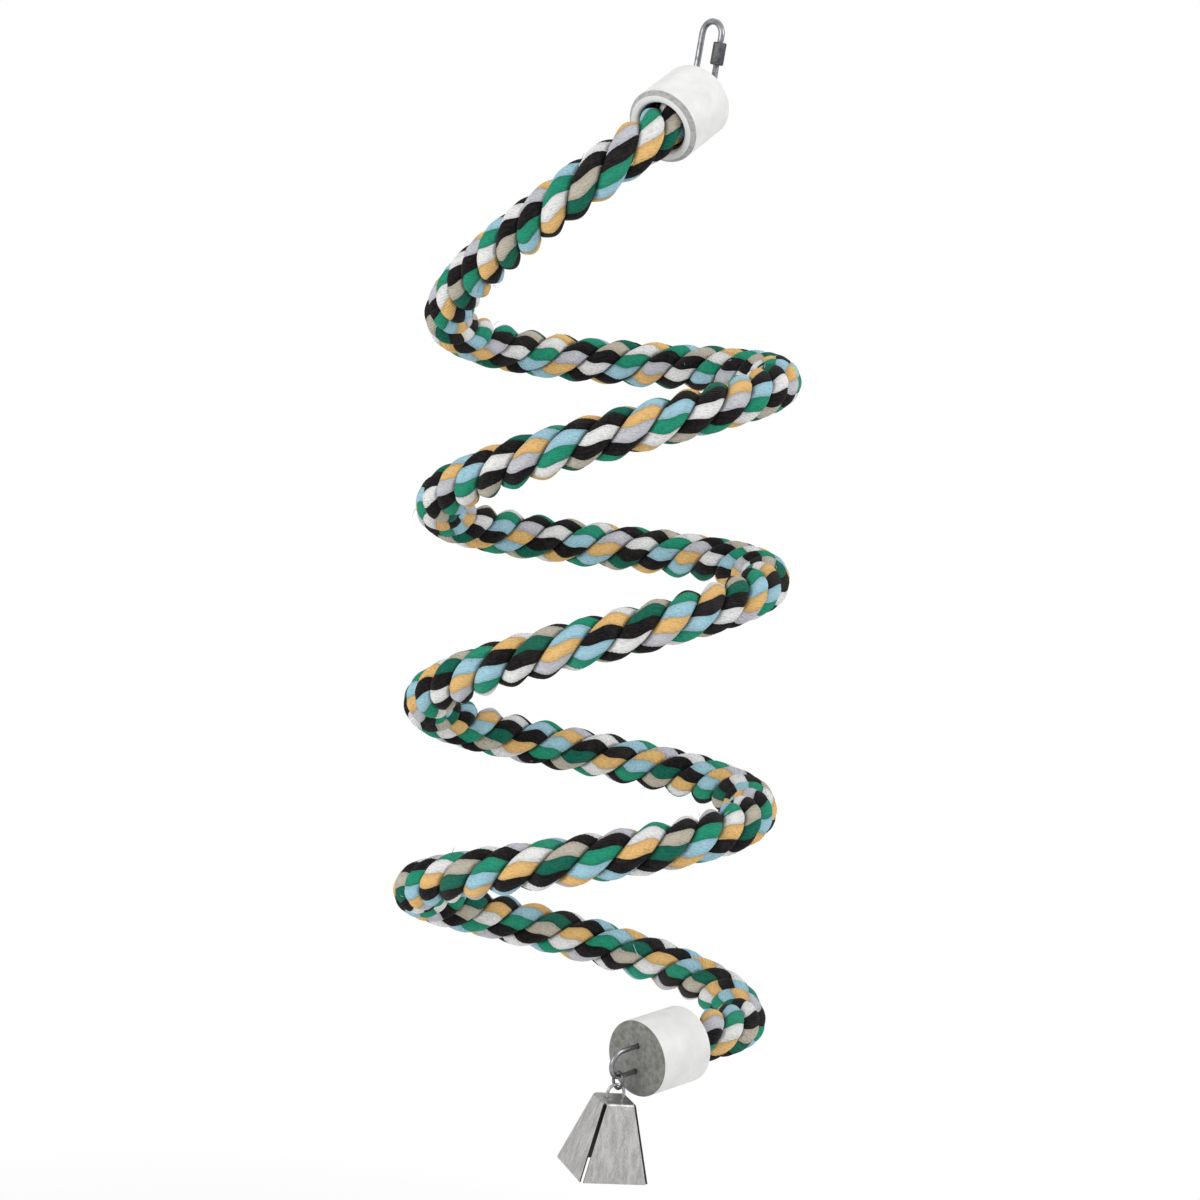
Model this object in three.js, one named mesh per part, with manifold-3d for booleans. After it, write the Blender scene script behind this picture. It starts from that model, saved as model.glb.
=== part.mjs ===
// A hanging spiral rope perch for a bird. A thick cotton rope on a steel wire core is wound into an open
// coil and hangs by a quick link from a white end cap. A second cap at its lower end carries a small bell
// of folded sheet. Millimetres, +Z up, +X to the right and +Y away from the viewer. The origin is where the
// link hangs: the inside of its upper bend.
import * as THREE from 'three';
import { mergeVertices } from 'three/addons/utils/BufferGeometryUtils.js';
import Module from 'manifold-3d';

const wasm = await Module();
wasm.setup();

// Driving dimensions

// Clearance between touching pieces
const FIT = 0.3;

// Quick link
const LINK_WIRE = 3.4;
const LINK_LENGTH = 39.4;
const LINK_WIDTH = 17.6;
const LINK_TURN_ANGLE = -45;
const LINK_GAP_START = 11;
const LINK_GAP = 4.2;
const NUT_FLATS = 6.4;
const NUT_LENGTH = 12;
const NUT_GRIP = 2.5;
const NUT_CHAMFER = 0.6;

// Wire eyes, each a staple through the end wall of a cap
const EYE_WIRE = 2.6;
const EYE_SPACING = 14;
const UPPER_EYE_REACH = 5;
const LOWER_EYE_REACH = 11.5;
const EYE_SETTING = 5;

// End caps
const CAP_DIAMETER = 40.5;
const CAP_LENGTH = 37;
const CAP_END_WALL = 4;
const CAP_RIM_CHAMFER = 2.4;
const CAP_MOUTH_CHAMFER = 1;
const CAP_EDGE_RADIUS = 1;
const UPPER_CAP_TURN_ANGLE = 60.9;
const UPPER_CAP_RISE_ANGLE = 27.4;
const LOWER_CAP_TURN_ANGLE = 227.8;
const LOWER_CAP_RISE_ANGLE = -7.3;

// Rope, its wire core and the tape that binds its ends
const ROPE_DIAMETER = 25;
const ROPE_INSERT = 16;
const ROPE_LEAD = 9;
const CORE_DIAMETER = 3.2;
const CORE_CLEARANCE = 0.4;
const TAPE_WALL = 0.8;
const TAPE_LENGTH = 12;

// Sleeve that grips the core and the legs of an eye
const FERRULE_LENGTH = 11.5;
const FERRULE_WALL = 1.5;

// Coil. The turns lie on a leaning helix, each tipped a little, with one slow wave in their fall.
const COIL_MEAN_DIAMETER = 178.9;
const COIL_PITCH = 107.8;
const COIL_TURNS = 3.444;
const COIL_START_ANGLE = 200;
const LEAN_RIGHT_SLOPE = 0.1188;
const LEAN_NEAR_SLOPE = 0.2646;
const TURN_RIGHT_SLOPE = 0.3093;
const TURN_RIGHT_SLOPE_LOSS = 0.0613;
const TURN_NEAR_SLOPE = 0.194;
const WAVE_HEIGHT = 5.16;
const WAVE_TURNS = 1.7726;
const WAVE_CREST = 1.3735;

// How far the rope runs from the upper cap to the coil, and from the coil to the lower cap
const TOP_RUN_LEFT = 92.5;
const TOP_RUN_AWAY = 130.5;
const TOP_RUN_DROP = 134.2;
const BOTTOM_RUN_LEFT = 30.5;
const BOTTOM_RUN_NEAR = 61.3;
const BOTTOM_RUN_DROP = 0.8;

// Ring between the lower eye and the bell
const RING_WIRE = 1.6;
const RING_DIAMETER = 10.2;
const RING_TURN_ANGLE = 33;
const RING_SPLIT_ANGLE = 8;
const RING_SPLIT_MIDDLE_ANGLE = 150;

// Bell: a cross of sheet folded into four sides
const BELL_TURN_ANGLE = 22;
const BELL_TOP = 17.9;
const BELL_BASE = 38;
const BELL_HEIGHT = 39.5;
const BELL_SHEET = 0.8;
const BELL_FOLD_RADIUS = 1.8;
const BELL_SLIT = 1.6;

// Bail of the bell, and the clapper on its cross bar
const BAIL_WIRE = 1.6;
const BAIL_SPAN = 9;
const BAIL_HEIGHT = 7.4;
const BAIL_BEND_RADIUS = 1.6;
const BAIL_END_GAP = 0.6;
const STEM_WIRE = 1.2;
const STEM_EYE_DIAMETER = 5.2;
const STEM_EYE_OPEN_ANGLE = 80;
const STEM_LENGTH = 26.5;
const BALL_DIAMETER = 9;
const BEAD_DIAMETER = 3;

// Facets
const ROPE_SIDES = 12;
const CORE_SIDES = 6;
const STEPS_PER_TURN = 30;
const JOIN_STEPS = 12;
const WIRE_SIDES = 8;
const TURNED_SIDES = 40;
const NUT_SIDES = 24;
const HOLE_SIDES = 12;
const BALL_SIDES = 20;
const BALL_ROWS = 12;
const BEAD_SIDES = 12;
const BEAD_ROWS = 8;
const FERRULE_ARC_STEPS = 8;
const FOLD_STEPS = 6;
const STEP_LENGTH = 1.7;

// Materials
const bareSteel = { color: 0x8f9294, roughness: 0.32, metalness: 1 };
const zincPlate = { color: 0x6d7072, roughness: 0.38, metalness: 1 };
const nickelSheet = { color: 0xb4b6b8, roughness: 0.34, metalness: 1 };
const whitePlastic = { color: 0xecebe8, roughness: 0.5, metalness: 0 };
const cottonRope = { color: 0x3d8f7d, roughness: 0.95, metalness: 0 };
const coreWire = { color: 0x77797b, roughness: 0.45, metalness: 1 };
const clothTape = { color: 0x2b2a29, roughness: 0.8, metalness: 0 };
const castBall = { color: 0x8a8c8e, roughness: 0.4, metalness: 1 };

// Directions and small vector helpers

const UP = new THREE.Vector3(0, 0, 1);
const radians = THREE.MathUtils.degToRad;

// A unit vector turned about Z from +X, and raised from level.
function heading(turn, rise) {
  const level = Math.cos(radians(rise));
  return new THREE.Vector3(
    level * Math.cos(radians(turn)),
    level * Math.sin(radians(turn)),
    Math.sin(radians(rise)),
  );
}

// A point reached from another by steps along directions: along(point, a, 3, b, -2) is point + 3a - 2b.
function along(point, ...steps) {
  const reached = point.clone();
  for (let i = 0; i < steps.length; i += 2) reached.addScaledVector(steps[i], steps[i + 1]);
  return reached;
}

// Solids: closed geometry with shared vertices, joined and cut

function bare(geometry) {
  const copy = geometry.clone();
  copy.deleteAttribute('normal');
  copy.deleteAttribute('uv');
  return mergeVertices(copy, 1e-4);
}

function solidOf(geometry) {
  const closed = bare(geometry);
  return new wasm.Manifold(new wasm.Mesh({
    numProp: 3,
    vertProperties: closed.attributes.position.array,
    triVerts: new Uint32Array(closed.index.array),
  }));
}

function geometryOf(solid) {
  const mesh = solid.getMesh();
  const geometry = new THREE.BufferGeometry();
  geometry.setAttribute('position', new THREE.BufferAttribute(mesh.vertProperties, 3));
  geometry.setIndex(new THREE.BufferAttribute(mesh.triVerts, 1));
  return geometry;
}

const cut = (body, tool) => geometryOf(solidOf(body).subtract(solidOf(tool)));
const join = (a, b) => geometryOf(solidOf(a).add(solidOf(b)));
const common = (a, b) => geometryOf(solidOf(a).intersect(solidOf(b)));

// Basic forms

// A revolved solid about Z. The profile holds [radius, height] points, anticlockwise.
function turned(profile, sides = TURNED_SIDES) {
  const points = profile.map(([radius, height]) => new THREE.Vector2(radius, height));
  return new THREE.LatheGeometry(points, sides).rotateX(Math.PI / 2);
}

// A round bar about Z from one height to another.
function bar(diameter, low, high, sides = TURNED_SIDES) {
  const cylinder = new THREE.CylinderGeometry(diameter / 2, diameter / 2, high - low, sides);
  return cylinder.rotateX(Math.PI / 2).translate(0, 0, (low + high) / 2);
}

// A straight extrusion of an outline along Z.
function extruded(outline, depth, curveSegments) {
  return new THREE.ExtrudeGeometry(outline, { depth, bevelEnabled: false, curveSegments });
}

// The corners of a regular polygon.
function polygon(radius, sides) {
  const corner = (i) => {
    const angle = (2 * Math.PI * i) / sides;
    return new THREE.Vector2(radius * Math.cos(angle), radius * Math.sin(angle));
  };
  return Array.from({ length: sides }, (_, i) => corner(i));
}

// A circular arc in the plane of two axes, from one angle to another.
class Arc extends THREE.Curve {
  constructor(centre, across, upward, radius, from, to) {
    super();
    Object.assign(this, { centre, across, upward, radius, from, to });
  }

  getPoint(t, target = new THREE.Vector3()) {
    const angle = radians(this.from + t * (this.to - this.from));
    return target.copy(along(
      this.centre,
      this.across, this.radius * Math.cos(angle),
      this.upward, this.radius * Math.sin(angle),
    ));
  }
}

// A path of straight lines between given curves: points and curves in order.
function pathThrough(...parts) {
  const path = new THREE.CurvePath();
  let last = null;
  for (const part of parts) {
    const start = part.isVector3 ? part : part.getPoint(0);
    if (last && last.distanceTo(start) > 1e-6) path.add(new THREE.LineCurve3(last, start));
    if (!part.isVector3) path.add(part);
    last = part.isVector3 ? part : part.getPoint(1);
  }
  return path;
}

// A round wire along a path.
function wire(path, diameter) {
  const steps = Math.ceil(path.getLength() / STEP_LENGTH);
  const section = new THREE.Shape(polygon(diameter / 2, WIRE_SIDES));
  return new THREE.ExtrudeGeometry(section, { steps, extrudePath: path });
}

// A smooth bend from one point and direction to another.
function bend(from, leaving, to, arriving, pull) {
  return new THREE.CubicBezierCurve3(from, along(from, leaving, pull), along(to, arriving, -pull), to);
}

// Places, worked out downwards from the hanging point

const LINK_AXIS = heading(LINK_TURN_ANGLE, 0);
const LINK_HALF = (LINK_WIDTH - LINK_WIRE) / 2;
const LINK_TOP_CENTRE = LINK_WIRE / 2 - LINK_HALF;
const LINK_SEAT = -(LINK_LENGTH - 2 * LINK_WIRE);
const LINK_LOWEST = LINK_SEAT - LINK_WIRE / 2;
const LINK_BOTTOM_CENTRE = LINK_LOWEST + LINK_HALF;

const UPPER_OUT = heading(UPPER_CAP_TURN_ANGLE, UPPER_CAP_RISE_ANGLE);
const LOWER_OUT = heading(LOWER_CAP_TURN_ANGLE, LOWER_CAP_RISE_ANGLE);
const UPPER_EYE_TOP = new THREE.Vector3(0, 0, LINK_SEAT + FIT + EYE_WIRE / 2);
const UPPER_FACE = along(UPPER_EYE_TOP, UP, -EYE_SPACING / 2, UPPER_OUT, -UPPER_EYE_REACH);
const UPPER_MOUTH = along(UPPER_FACE, UPPER_OUT, -CAP_LENGTH);

// The helix that the coil's turns follow, from its start, by turns gone round.
function helixPoint(turns) {
  const angle = radians(COIL_START_ANGLE) + 2 * Math.PI * turns;
  const right = (COIL_MEAN_DIAMETER / 2) * Math.cos(angle);
  const near = (COIL_MEAN_DIAMETER / 2) * Math.sin(angle);
  const swell = Math.sin((Math.PI * turns) / COIL_TURNS);
  const wave = WAVE_HEIGHT * swell * Math.cos((2 * Math.PI * (turns - WAVE_CREST)) / WAVE_TURNS);
  const fall = COIL_PITCH * turns - wave;
  const rise = (TURN_RIGHT_SLOPE - TURN_RIGHT_SLOPE_LOSS * turns) * right + TURN_NEAR_SLOPE * near;
  return new THREE.Vector3(LEAN_RIGHT_SLOPE * fall + right, -LEAN_NEAR_SLOPE * fall - near, rise - fall);
}

const TOP_RUN = new THREE.Vector3(-TOP_RUN_LEFT, TOP_RUN_AWAY, -TOP_RUN_DROP);
const BOTTOM_RUN = new THREE.Vector3(-BOTTOM_RUN_LEFT, -BOTTOM_RUN_NEAR, -BOTTOM_RUN_DROP);
const COIL_START = UPPER_MOUTH.clone().add(TOP_RUN);
const coilPoint = (turns) => helixPoint(turns).sub(helixPoint(0)).add(COIL_START);
const COIL_END = coilPoint(COIL_TURNS);
const LOWER_MOUTH = COIL_END.clone().add(BOTTOM_RUN);
const LOWER_FACE = along(LOWER_MOUTH, LOWER_OUT, CAP_LENGTH);
const LOWER_EYE_LOWEST = along(LOWER_FACE, LOWER_OUT, LOWER_EYE_REACH, UP, -EYE_SPACING / 2);

const RING_MEAN_RADIUS = (RING_DIAMETER - RING_WIRE) / 2;
const RING_HEIGHT = LOWER_EYE_LOWEST.z + EYE_WIRE / 2 + FIT + RING_WIRE / 2 - RING_MEAN_RADIUS;
const RING_CENTRE = new THREE.Vector3(LOWER_EYE_LOWEST.x, LOWER_EYE_LOWEST.y, RING_HEIGHT);
const BAIL_TOP = along(RING_CENTRE, UP, -RING_MEAN_RADIUS + (RING_WIRE + BAIL_WIRE) / 2 + FIT);
const BELL_ORIGIN = along(BAIL_TOP, UP, -BAIL_HEIGHT);

// The rope's route: straight out of each cap, a smooth run to the coil, and the coil's turns

// Points of a cubic run that leaves and arrives along given directions.
function runPoints(from, leaving, to, arriving, count) {
  const pull = from.distanceTo(to) / 3;
  return bend(from, leaving, to, arriving, pull).getPoints(count);
}

function ropeRoute() {
  const turnSteps = Math.round(STEPS_PER_TURN * COIL_TURNS);
  const turns = Array.from({ length: turnSteps + 1 }, (_, i) => coilPoint((COIL_TURNS * i) / turnSteps));
  const upperLead = along(UPPER_MOUTH, UPPER_OUT, -ROPE_LEAD);
  const lowerLead = along(LOWER_MOUTH, LOWER_OUT, -ROPE_LEAD);
  const entering = turns[1].clone().sub(turns[0]).normalize();
  const leaving = turns[turnSteps].clone().sub(turns[turnSteps - 1]).normalize();
  const down = UPPER_OUT.clone().negate();
  return [
    along(UPPER_MOUTH, UPPER_OUT, ROPE_INSERT),
    ...runPoints(upperLead, down, turns[0], entering, 2 * JOIN_STEPS),
    ...turns.slice(1),
    ...runPoints(turns[turnSteps], leaving, lowerLead, LOWER_OUT, JOIN_STEPS).slice(1),
    along(LOWER_MOUTH, LOWER_OUT, ROPE_INSERT),
  ];
}

// Stations along a route: a point with the two level and upright directions across it.
function stationsAlong(points) {
  return points.map((point, i) => {
    const before = points[Math.max(i - 1, 0)];
    const after = points[Math.min(i + 1, points.length - 1)];
    const forward = after.clone().sub(before).normalize();
    const level = UP.clone().cross(forward).normalize();
    return { point, level, upright: forward.clone().cross(level) };
  });
}

// A closed tube through stations, with a bore if boreOutline holds points.
function tube(stations, outline, boreOutline = []) {
  const ring = [...outline, ...boreOutline];
  const positions = stations.flatMap(({ point, level, upright }) =>
    ring.flatMap((p) => along(point, level, p.x, upright, p.y).toArray()));
  const faces = [];
  const wall = (first, count, outward) => {
    for (let s = 0; s + 1 < stations.length; s += 1) {
      for (let k = 0; k < count; k += 1) {
        const a = s * ring.length + first + k;
        const b = s * ring.length + first + ((k + 1) % count);
        const [c, d] = [a + ring.length, b + ring.length];
        faces.push(...(outward ? [a, b, d, a, d, c] : [a, d, b, a, c, d]));
      }
    }
  };
  wall(0, outline.length, true);
  wall(outline.length, boreOutline.length, false);
  const end = (stations.length - 1) * ring.length;
  const holes = boreOutline.length ? [boreOutline] : [];
  for (const [a, b, c] of THREE.ShapeUtils.triangulateShape(outline, holes)) {
    faces.push(a, c, b, end + a, end + b, end + c);
  }
  const geometry = new THREE.BufferGeometry();
  geometry.setAttribute('position', new THREE.Float32BufferAttribute(positions, 3));
  geometry.setIndex(faces);
  return geometry;
}

// The least gap between parts of the rope that lie more than half a turn apart.
function leastGap(points) {
  const apart = Math.round(STEPS_PER_TURN / 2);
  let least = Infinity;
  points.forEach((a, i) => {
    for (let j = i + apart; j < points.length; j += 1) least = Math.min(least, a.distanceTo(points[j]));
  });
  return least - ROPE_DIAMETER;
}

const route = ropeRoute();
console.log(`rope_coil: least gap to itself ${leastGap(route).toFixed(1)} mm`);

// Rope and core

function ropeCoil() {
  const bore = polygon(CORE_DIAMETER / 2 + CORE_CLEARANCE, CORE_SIDES);
  return tube(stationsAlong(route), polygon(ROPE_DIAMETER / 2, ROPE_SIDES), bore);
}

// The core runs on past each end of the rope, as far as its ferrule reaches.
function coreLength() {
  const past = ROPE_INSERT + 2 * FIT + FERRULE_LENGTH;
  const points = [
    along(UPPER_MOUTH, UPPER_OUT, past),
    ...route,
    along(LOWER_MOUTH, LOWER_OUT, past),
  ];
  return tube(stationsAlong(points), polygon(CORE_DIAMETER / 2, CORE_SIDES));
}

// Pieces of a cap end, in the cap's own frame: origin at the middle of the closed face, +Z out of it and
// +Y upwards

const BORE_RADIUS = ROPE_DIAMETER / 2 + FIT + TAPE_WALL + FIT;
const LEG_IN_FERRULE = (CORE_DIAMETER + EYE_WIRE) / 2 + FIT;
const FERRULE_OUTER_END = ROPE_INSERT + FIT + FERRULE_LENGTH - CAP_LENGTH;

function endCap() {
  const radius = CAP_DIAMETER / 2;
  const round = CAP_EDGE_RADIUS * (1 - Math.SQRT1_2);
  const shell = turned([
    [0, -CAP_END_WALL],
    [BORE_RADIUS, -CAP_END_WALL],
    [BORE_RADIUS, CAP_MOUTH_CHAMFER - CAP_LENGTH],
    [BORE_RADIUS + CAP_MOUTH_CHAMFER, -CAP_LENGTH],
    [radius - CAP_RIM_CHAMFER, -CAP_LENGTH],
    [radius, CAP_RIM_CHAMFER - CAP_LENGTH],
    [radius, -CAP_EDGE_RADIUS],
    [radius - round, -round],
    [radius - CAP_EDGE_RADIUS, 0],
    [0, 0],
  ]);
  const leg = bar(EYE_WIRE + 2 * FIT, -2 * CAP_END_WALL, CAP_END_WALL, WIRE_SIDES * 2);
  const upperCut = cut(shell, leg.clone().translate(0, EYE_SPACING / 2, 0));
  return cut(upperCut, leg.clone().translate(0, -EYE_SPACING / 2, 0));
}

// One leg of an eye, from the ferrule out to the end of its straight reach.
function eyeLeg(side, reach) {
  const out = new THREE.Vector3(0, 0, 1);
  const inner = new THREE.Vector3(0, side * LEG_IN_FERRULE, FERRULE_OUTER_END);
  const deep = along(inner, out, -FERRULE_LENGTH + FIT);
  const behindWall = new THREE.Vector3(0, (side * EYE_SPACING) / 2, -CAP_END_WALL + FIT);
  const outside = along(behindWall, out, CAP_END_WALL - FIT + reach);
  return { deep, spread: bend(inner, out, behindWall, out, EYE_SETTING / 2), outside };
}

function eye(reach) {
  const upper = eyeLeg(1, reach);
  const lower = eyeLeg(-1, reach);
  const across = new THREE.Vector3(0, 0, 1);
  const upward = new THREE.Vector3(0, 1, 0);
  const middle = new THREE.Vector3(0, 0, reach);
  const loop = new Arc(middle, across, upward, EYE_SPACING / 2, 90, -90);
  const inward = new THREE.CubicBezierCurve3(
    lower.spread.v3,
    lower.spread.v2,
    lower.spread.v1,
    lower.spread.v0,
  );
  return wire(pathThrough(upper.deep, upper.spread, loop, inward, lower.deep), EYE_WIRE);
}

// An oval outline that keeps a distance from a row of points along Y.
function oval(halfLength, radius) {
  const outline = new THREE.Shape();
  outline.absarc(0, halfLength, radius, 0, Math.PI, false);
  outline.absarc(0, -halfLength, radius, Math.PI, 2 * Math.PI, false);
  return outline;
}

function ferrule() {
  const inside = CORE_DIAMETER / 2 + FIT;
  const outline = oval(LEG_IN_FERRULE, inside + FERRULE_WALL);
  outline.holes.push(oval(LEG_IN_FERRULE, inside));
  const sleeve = extruded(outline, FERRULE_LENGTH, FERRULE_ARC_STEPS);
  return sleeve.translate(0, 0, FERRULE_OUTER_END - FERRULE_LENGTH);
}

function endTape() {
  const inner = ROPE_DIAMETER / 2 + FIT;
  const high = ROPE_INSERT - CAP_LENGTH - FIT;
  return turned([
    [inner, high - TAPE_LENGTH],
    [inner + TAPE_WALL, high - TAPE_LENGTH],
    [inner + TAPE_WALL, high],
    [inner, high],
    [inner, high - TAPE_LENGTH],
  ]);
}

// Quick link, in its own frame: origin at the hanging point, +X across its two legs

function linkBody() {
  const across = new THREE.Vector3(1, 0, 0);
  const leg = (side, height) => new THREE.Vector3(side * LINK_HALF, 0, height);
  const topCentre = new THREE.Vector3(0, 0, LINK_TOP_CENTRE);
  const bottomCentre = new THREE.Vector3(0, 0, LINK_BOTTOM_CENTRE);
  return wire(pathThrough(
    leg(1, -LINK_GAP_START - LINK_GAP),
    new Arc(bottomCentre, across, UP, LINK_HALF, 0, -180),
    new Arc(topCentre, across, UP, LINK_HALF, 180, 0),
    leg(1, -LINK_GAP_START),
  ), LINK_WIRE);
}

// A hexagonal sleeve with turned-down corners at both ends.
function linkNut() {
  const high = NUT_GRIP - LINK_GAP_START;
  const low = high - NUT_LENGTH;
  const corner = NUT_FLATS / Math.sqrt(3);
  const blank = bar(2 * corner, low, high, 6);
  const rounded = turned([
    [0, low],
    [corner - NUT_CHAMFER, low],
    [corner, low + NUT_CHAMFER],
    [corner, high - NUT_CHAMFER],
    [corner - NUT_CHAMFER, high],
    [0, high],
  ], NUT_SIDES);
  const bore = bar(LINK_WIRE + 2 * FIT, low - NUT_CHAMFER, high + NUT_CHAMFER, WIRE_SIDES * 2);
  return cut(common(blank, rounded), bore).translate(LINK_HALF, 0, 0);
}

// Ring: a wire bent round, its two ends a little apart

function bellRing() {
  const centre = new THREE.Vector3(0, 0, 0);
  const across = new THREE.Vector3(0, 1, 0);
  const from = RING_SPLIT_MIDDLE_ANGLE + RING_SPLIT_ANGLE / 2;
  const round = new Arc(centre, across, UP, RING_MEAN_RADIUS, from, from + 360 - RING_SPLIT_ANGLE);
  return wire(round, RING_WIRE);
}

// Bell, in its own frame: origin on top of its flat crown, +X along the cross bar of the bail

const SIDE_SLOPE = Math.atan2((BELL_BASE - BELL_TOP) / 2, BELL_HEIGHT);

// One strip of the cross, seen from its edge: the crown, two folds and two sloping sides.
function stripOutline() {
  const foldX = BELL_TOP / 2 - BELL_FOLD_RADIUS * Math.tan((Math.PI / 2 - SIDE_SLOPE) / 2);
  const foldZ = -BELL_FOLD_RADIUS;
  const inside = BELL_FOLD_RADIUS - BELL_SHEET;
  const lip = BELL_SHEET / Math.cos(SIDE_SLOPE);
  const left = Math.PI - SIDE_SLOPE;
  const outline = new THREE.Shape();
  outline.moveTo(BELL_BASE / 2 - lip, -BELL_HEIGHT);
  outline.lineTo(BELL_BASE / 2, -BELL_HEIGHT);
  outline.absarc(foldX, foldZ, BELL_FOLD_RADIUS, SIDE_SLOPE, Math.PI / 2, false);
  outline.absarc(-foldX, foldZ, BELL_FOLD_RADIUS, Math.PI / 2, left, false);
  outline.lineTo(-BELL_BASE / 2, -BELL_HEIGHT);
  outline.lineTo(-BELL_BASE / 2 + lip, -BELL_HEIGHT);
  outline.absarc(-foldX, foldZ, inside, left, Math.PI / 2, true);
  outline.absarc(foldX, foldZ, inside, Math.PI / 2, SIDE_SLOPE, true);
  return outline;
}

// A prism along Y, centred, from an outline in X and Z.
function prism(outline, length) {
  return extruded(outline, length, FOLD_STEPS).translate(0, 0, -length / 2).rotateX(Math.PI / 2);
}

// The strip narrows towards the crown, so that slits stay open at the bell's corners.
function bellStrip() {
  const half = (height) => BELL_TOP / 2 - BELL_SLIT - height * Math.tan(SIDE_SLOPE);
  const [below, above] = [-BELL_HEIGHT - BELL_SHEET, BELL_SHEET];
  const taper = new THREE.Shape([
    new THREE.Vector2(-half(below), below),
    new THREE.Vector2(half(below), below),
    new THREE.Vector2(half(above), above),
    new THREE.Vector2(-half(above), above),
  ]);
  const quarter = Math.PI / 2;
  return common(prism(stripOutline(), BELL_BASE), prism(taper, BELL_BASE + BELL_SHEET).rotateZ(quarter));
}

function bellShell() {
  const strip = bellStrip();
  const cross = join(strip, strip.clone().rotateZ(Math.PI / 2));
  const hole = bar(BAIL_WIRE + 2 * FIT, -2 * BELL_SHEET, BELL_SHEET, HOLE_SIDES);
  const once = cut(cross, hole.clone().translate(BAIL_SPAN / 2, 0, 0));
  return cut(once, hole.clone().translate(-BAIL_SPAN / 2, 0, 0));
}

// The cross bar of the bail lies under the crown, with room above it for the clapper's eye.
const CROSS_BAR = -(BELL_SHEET + FIT + STEM_WIRE + FIT + BAIL_WIRE / 2);

function bellBail() {
  const across = new THREE.Vector3(1, 0, 0);
  const point = (x, z) => new THREE.Vector3(x, 0, z);
  const bendX = BAIL_SPAN / 2 - BAIL_BEND_RADIUS;
  const bendZ = CROSS_BAR + BAIL_BEND_RADIUS;
  const archCentre = point(0, BAIL_HEIGHT - BAIL_SPAN / 2);
  return wire(pathThrough(
    point(bendX - BAIL_END_GAP / 2, CROSS_BAR),
    new Arc(point(bendX, bendZ), across, UP, BAIL_BEND_RADIUS, -90, 0),
    new Arc(archCentre, across, UP, BAIL_SPAN / 2, 0, 180),
    new Arc(point(-bendX, bendZ), across, UP, BAIL_BEND_RADIUS, 180, 270),
    point(bendX - 2 * BAIL_END_GAP, CROSS_BAR),
  ), BAIL_WIRE);
}

// Clapper, in the bell's frame: an eye round the cross bar, a straight stem and a bead that holds the ball

const STEM_EYE_RADIUS = (STEM_EYE_DIAMETER - STEM_WIRE) / 2;
const STEM_EYE_HEIGHT = CROSS_BAR + BAIL_WIRE / 2 + FIT + STEM_WIRE / 2 - STEM_EYE_RADIUS;
const BALL_HEIGHT = CROSS_BAR - STEM_LENGTH;
const BEAD_HEIGHT = BALL_HEIGHT - BALL_DIAMETER / 2 - FIT;

function clapperStem() {
  const across = new THREE.Vector3(0, 1, 0);
  const centre = new THREE.Vector3(0, 0, STEM_EYE_HEIGHT);
  const open = STEM_EYE_OPEN_ANGLE / 2;
  const [from, to] = [open - 90, 270 - open];
  const round = new Arc(centre, across, UP, STEM_EYE_RADIUS, from, to);
  const leaving = new THREE.Vector3(0, -Math.sin(radians(to)), Math.cos(radians(to)));
  const down = new THREE.Vector3(0, 0, -1);
  const neck = along(centre, down, 2 * STEM_EYE_RADIUS);
  const swan = bend(round.getPoint(1), leaving, neck, down, STEM_EYE_RADIUS / 2);
  const foot = new THREE.Vector3(0, 0, BEAD_HEIGHT);
  const bead = new THREE.SphereGeometry(BEAD_DIAMETER / 2, BEAD_SIDES, BEAD_ROWS).rotateX(Math.PI / 2);
  bead.translate(0, 0, BEAD_HEIGHT - BEAD_DIAMETER / 2 + FIT);
  return join(wire(pathThrough(round, swan, foot), STEM_WIRE), bead);
}

function clapperBall() {
  const ball = new THREE.SphereGeometry(BALL_DIAMETER / 2, BALL_SIDES, BALL_ROWS).rotateX(Math.PI / 2);
  const bore = bar(STEM_WIRE + 2 * FIT, -BALL_DIAMETER, BALL_DIAMETER, HOLE_SIDES);
  return cut(ball, bore).translate(0, 0, BALL_HEIGHT);
}

// Assembly

function piece(name, geometry, finish) {
  const mesh = new THREE.Mesh(bare(geometry), new THREE.MeshStandardMaterial(finish));
  mesh.geometry.computeVertexNormals();
  mesh.name = name;
  return mesh;
}

// A group whose own +Z points along a direction and whose +Y points as nearly up as it can.
function facing(origin, out, ...pieces) {
  const upward = along(UP, out, -UP.dot(out)).normalize();
  const across = upward.clone().cross(out);
  const group = new THREE.Group();
  group.quaternion.setFromRotationMatrix(new THREE.Matrix4().makeBasis(across, upward, out));
  group.position.copy(origin);
  group.add(...pieces);
  return group;
}

// A group turned about Z.
function turnedTo(origin, turn, ...pieces) {
  const group = new THREE.Group();
  group.position.copy(origin);
  group.rotation.z = radians(turn);
  group.add(...pieces);
  return group;
}

function capEnd(side, origin, out, reach) {
  return facing(
    origin,
    out,
    piece(`${side}_end_cap`, endCap(), whitePlastic),
    piece(`${side}_eye`, eye(reach), bareSteel),
    piece(`${side}_ferrule`, ferrule(), zincPlate),
    piece(`${side}_end_tape`, endTape(), clothTape),
  );
}

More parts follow.
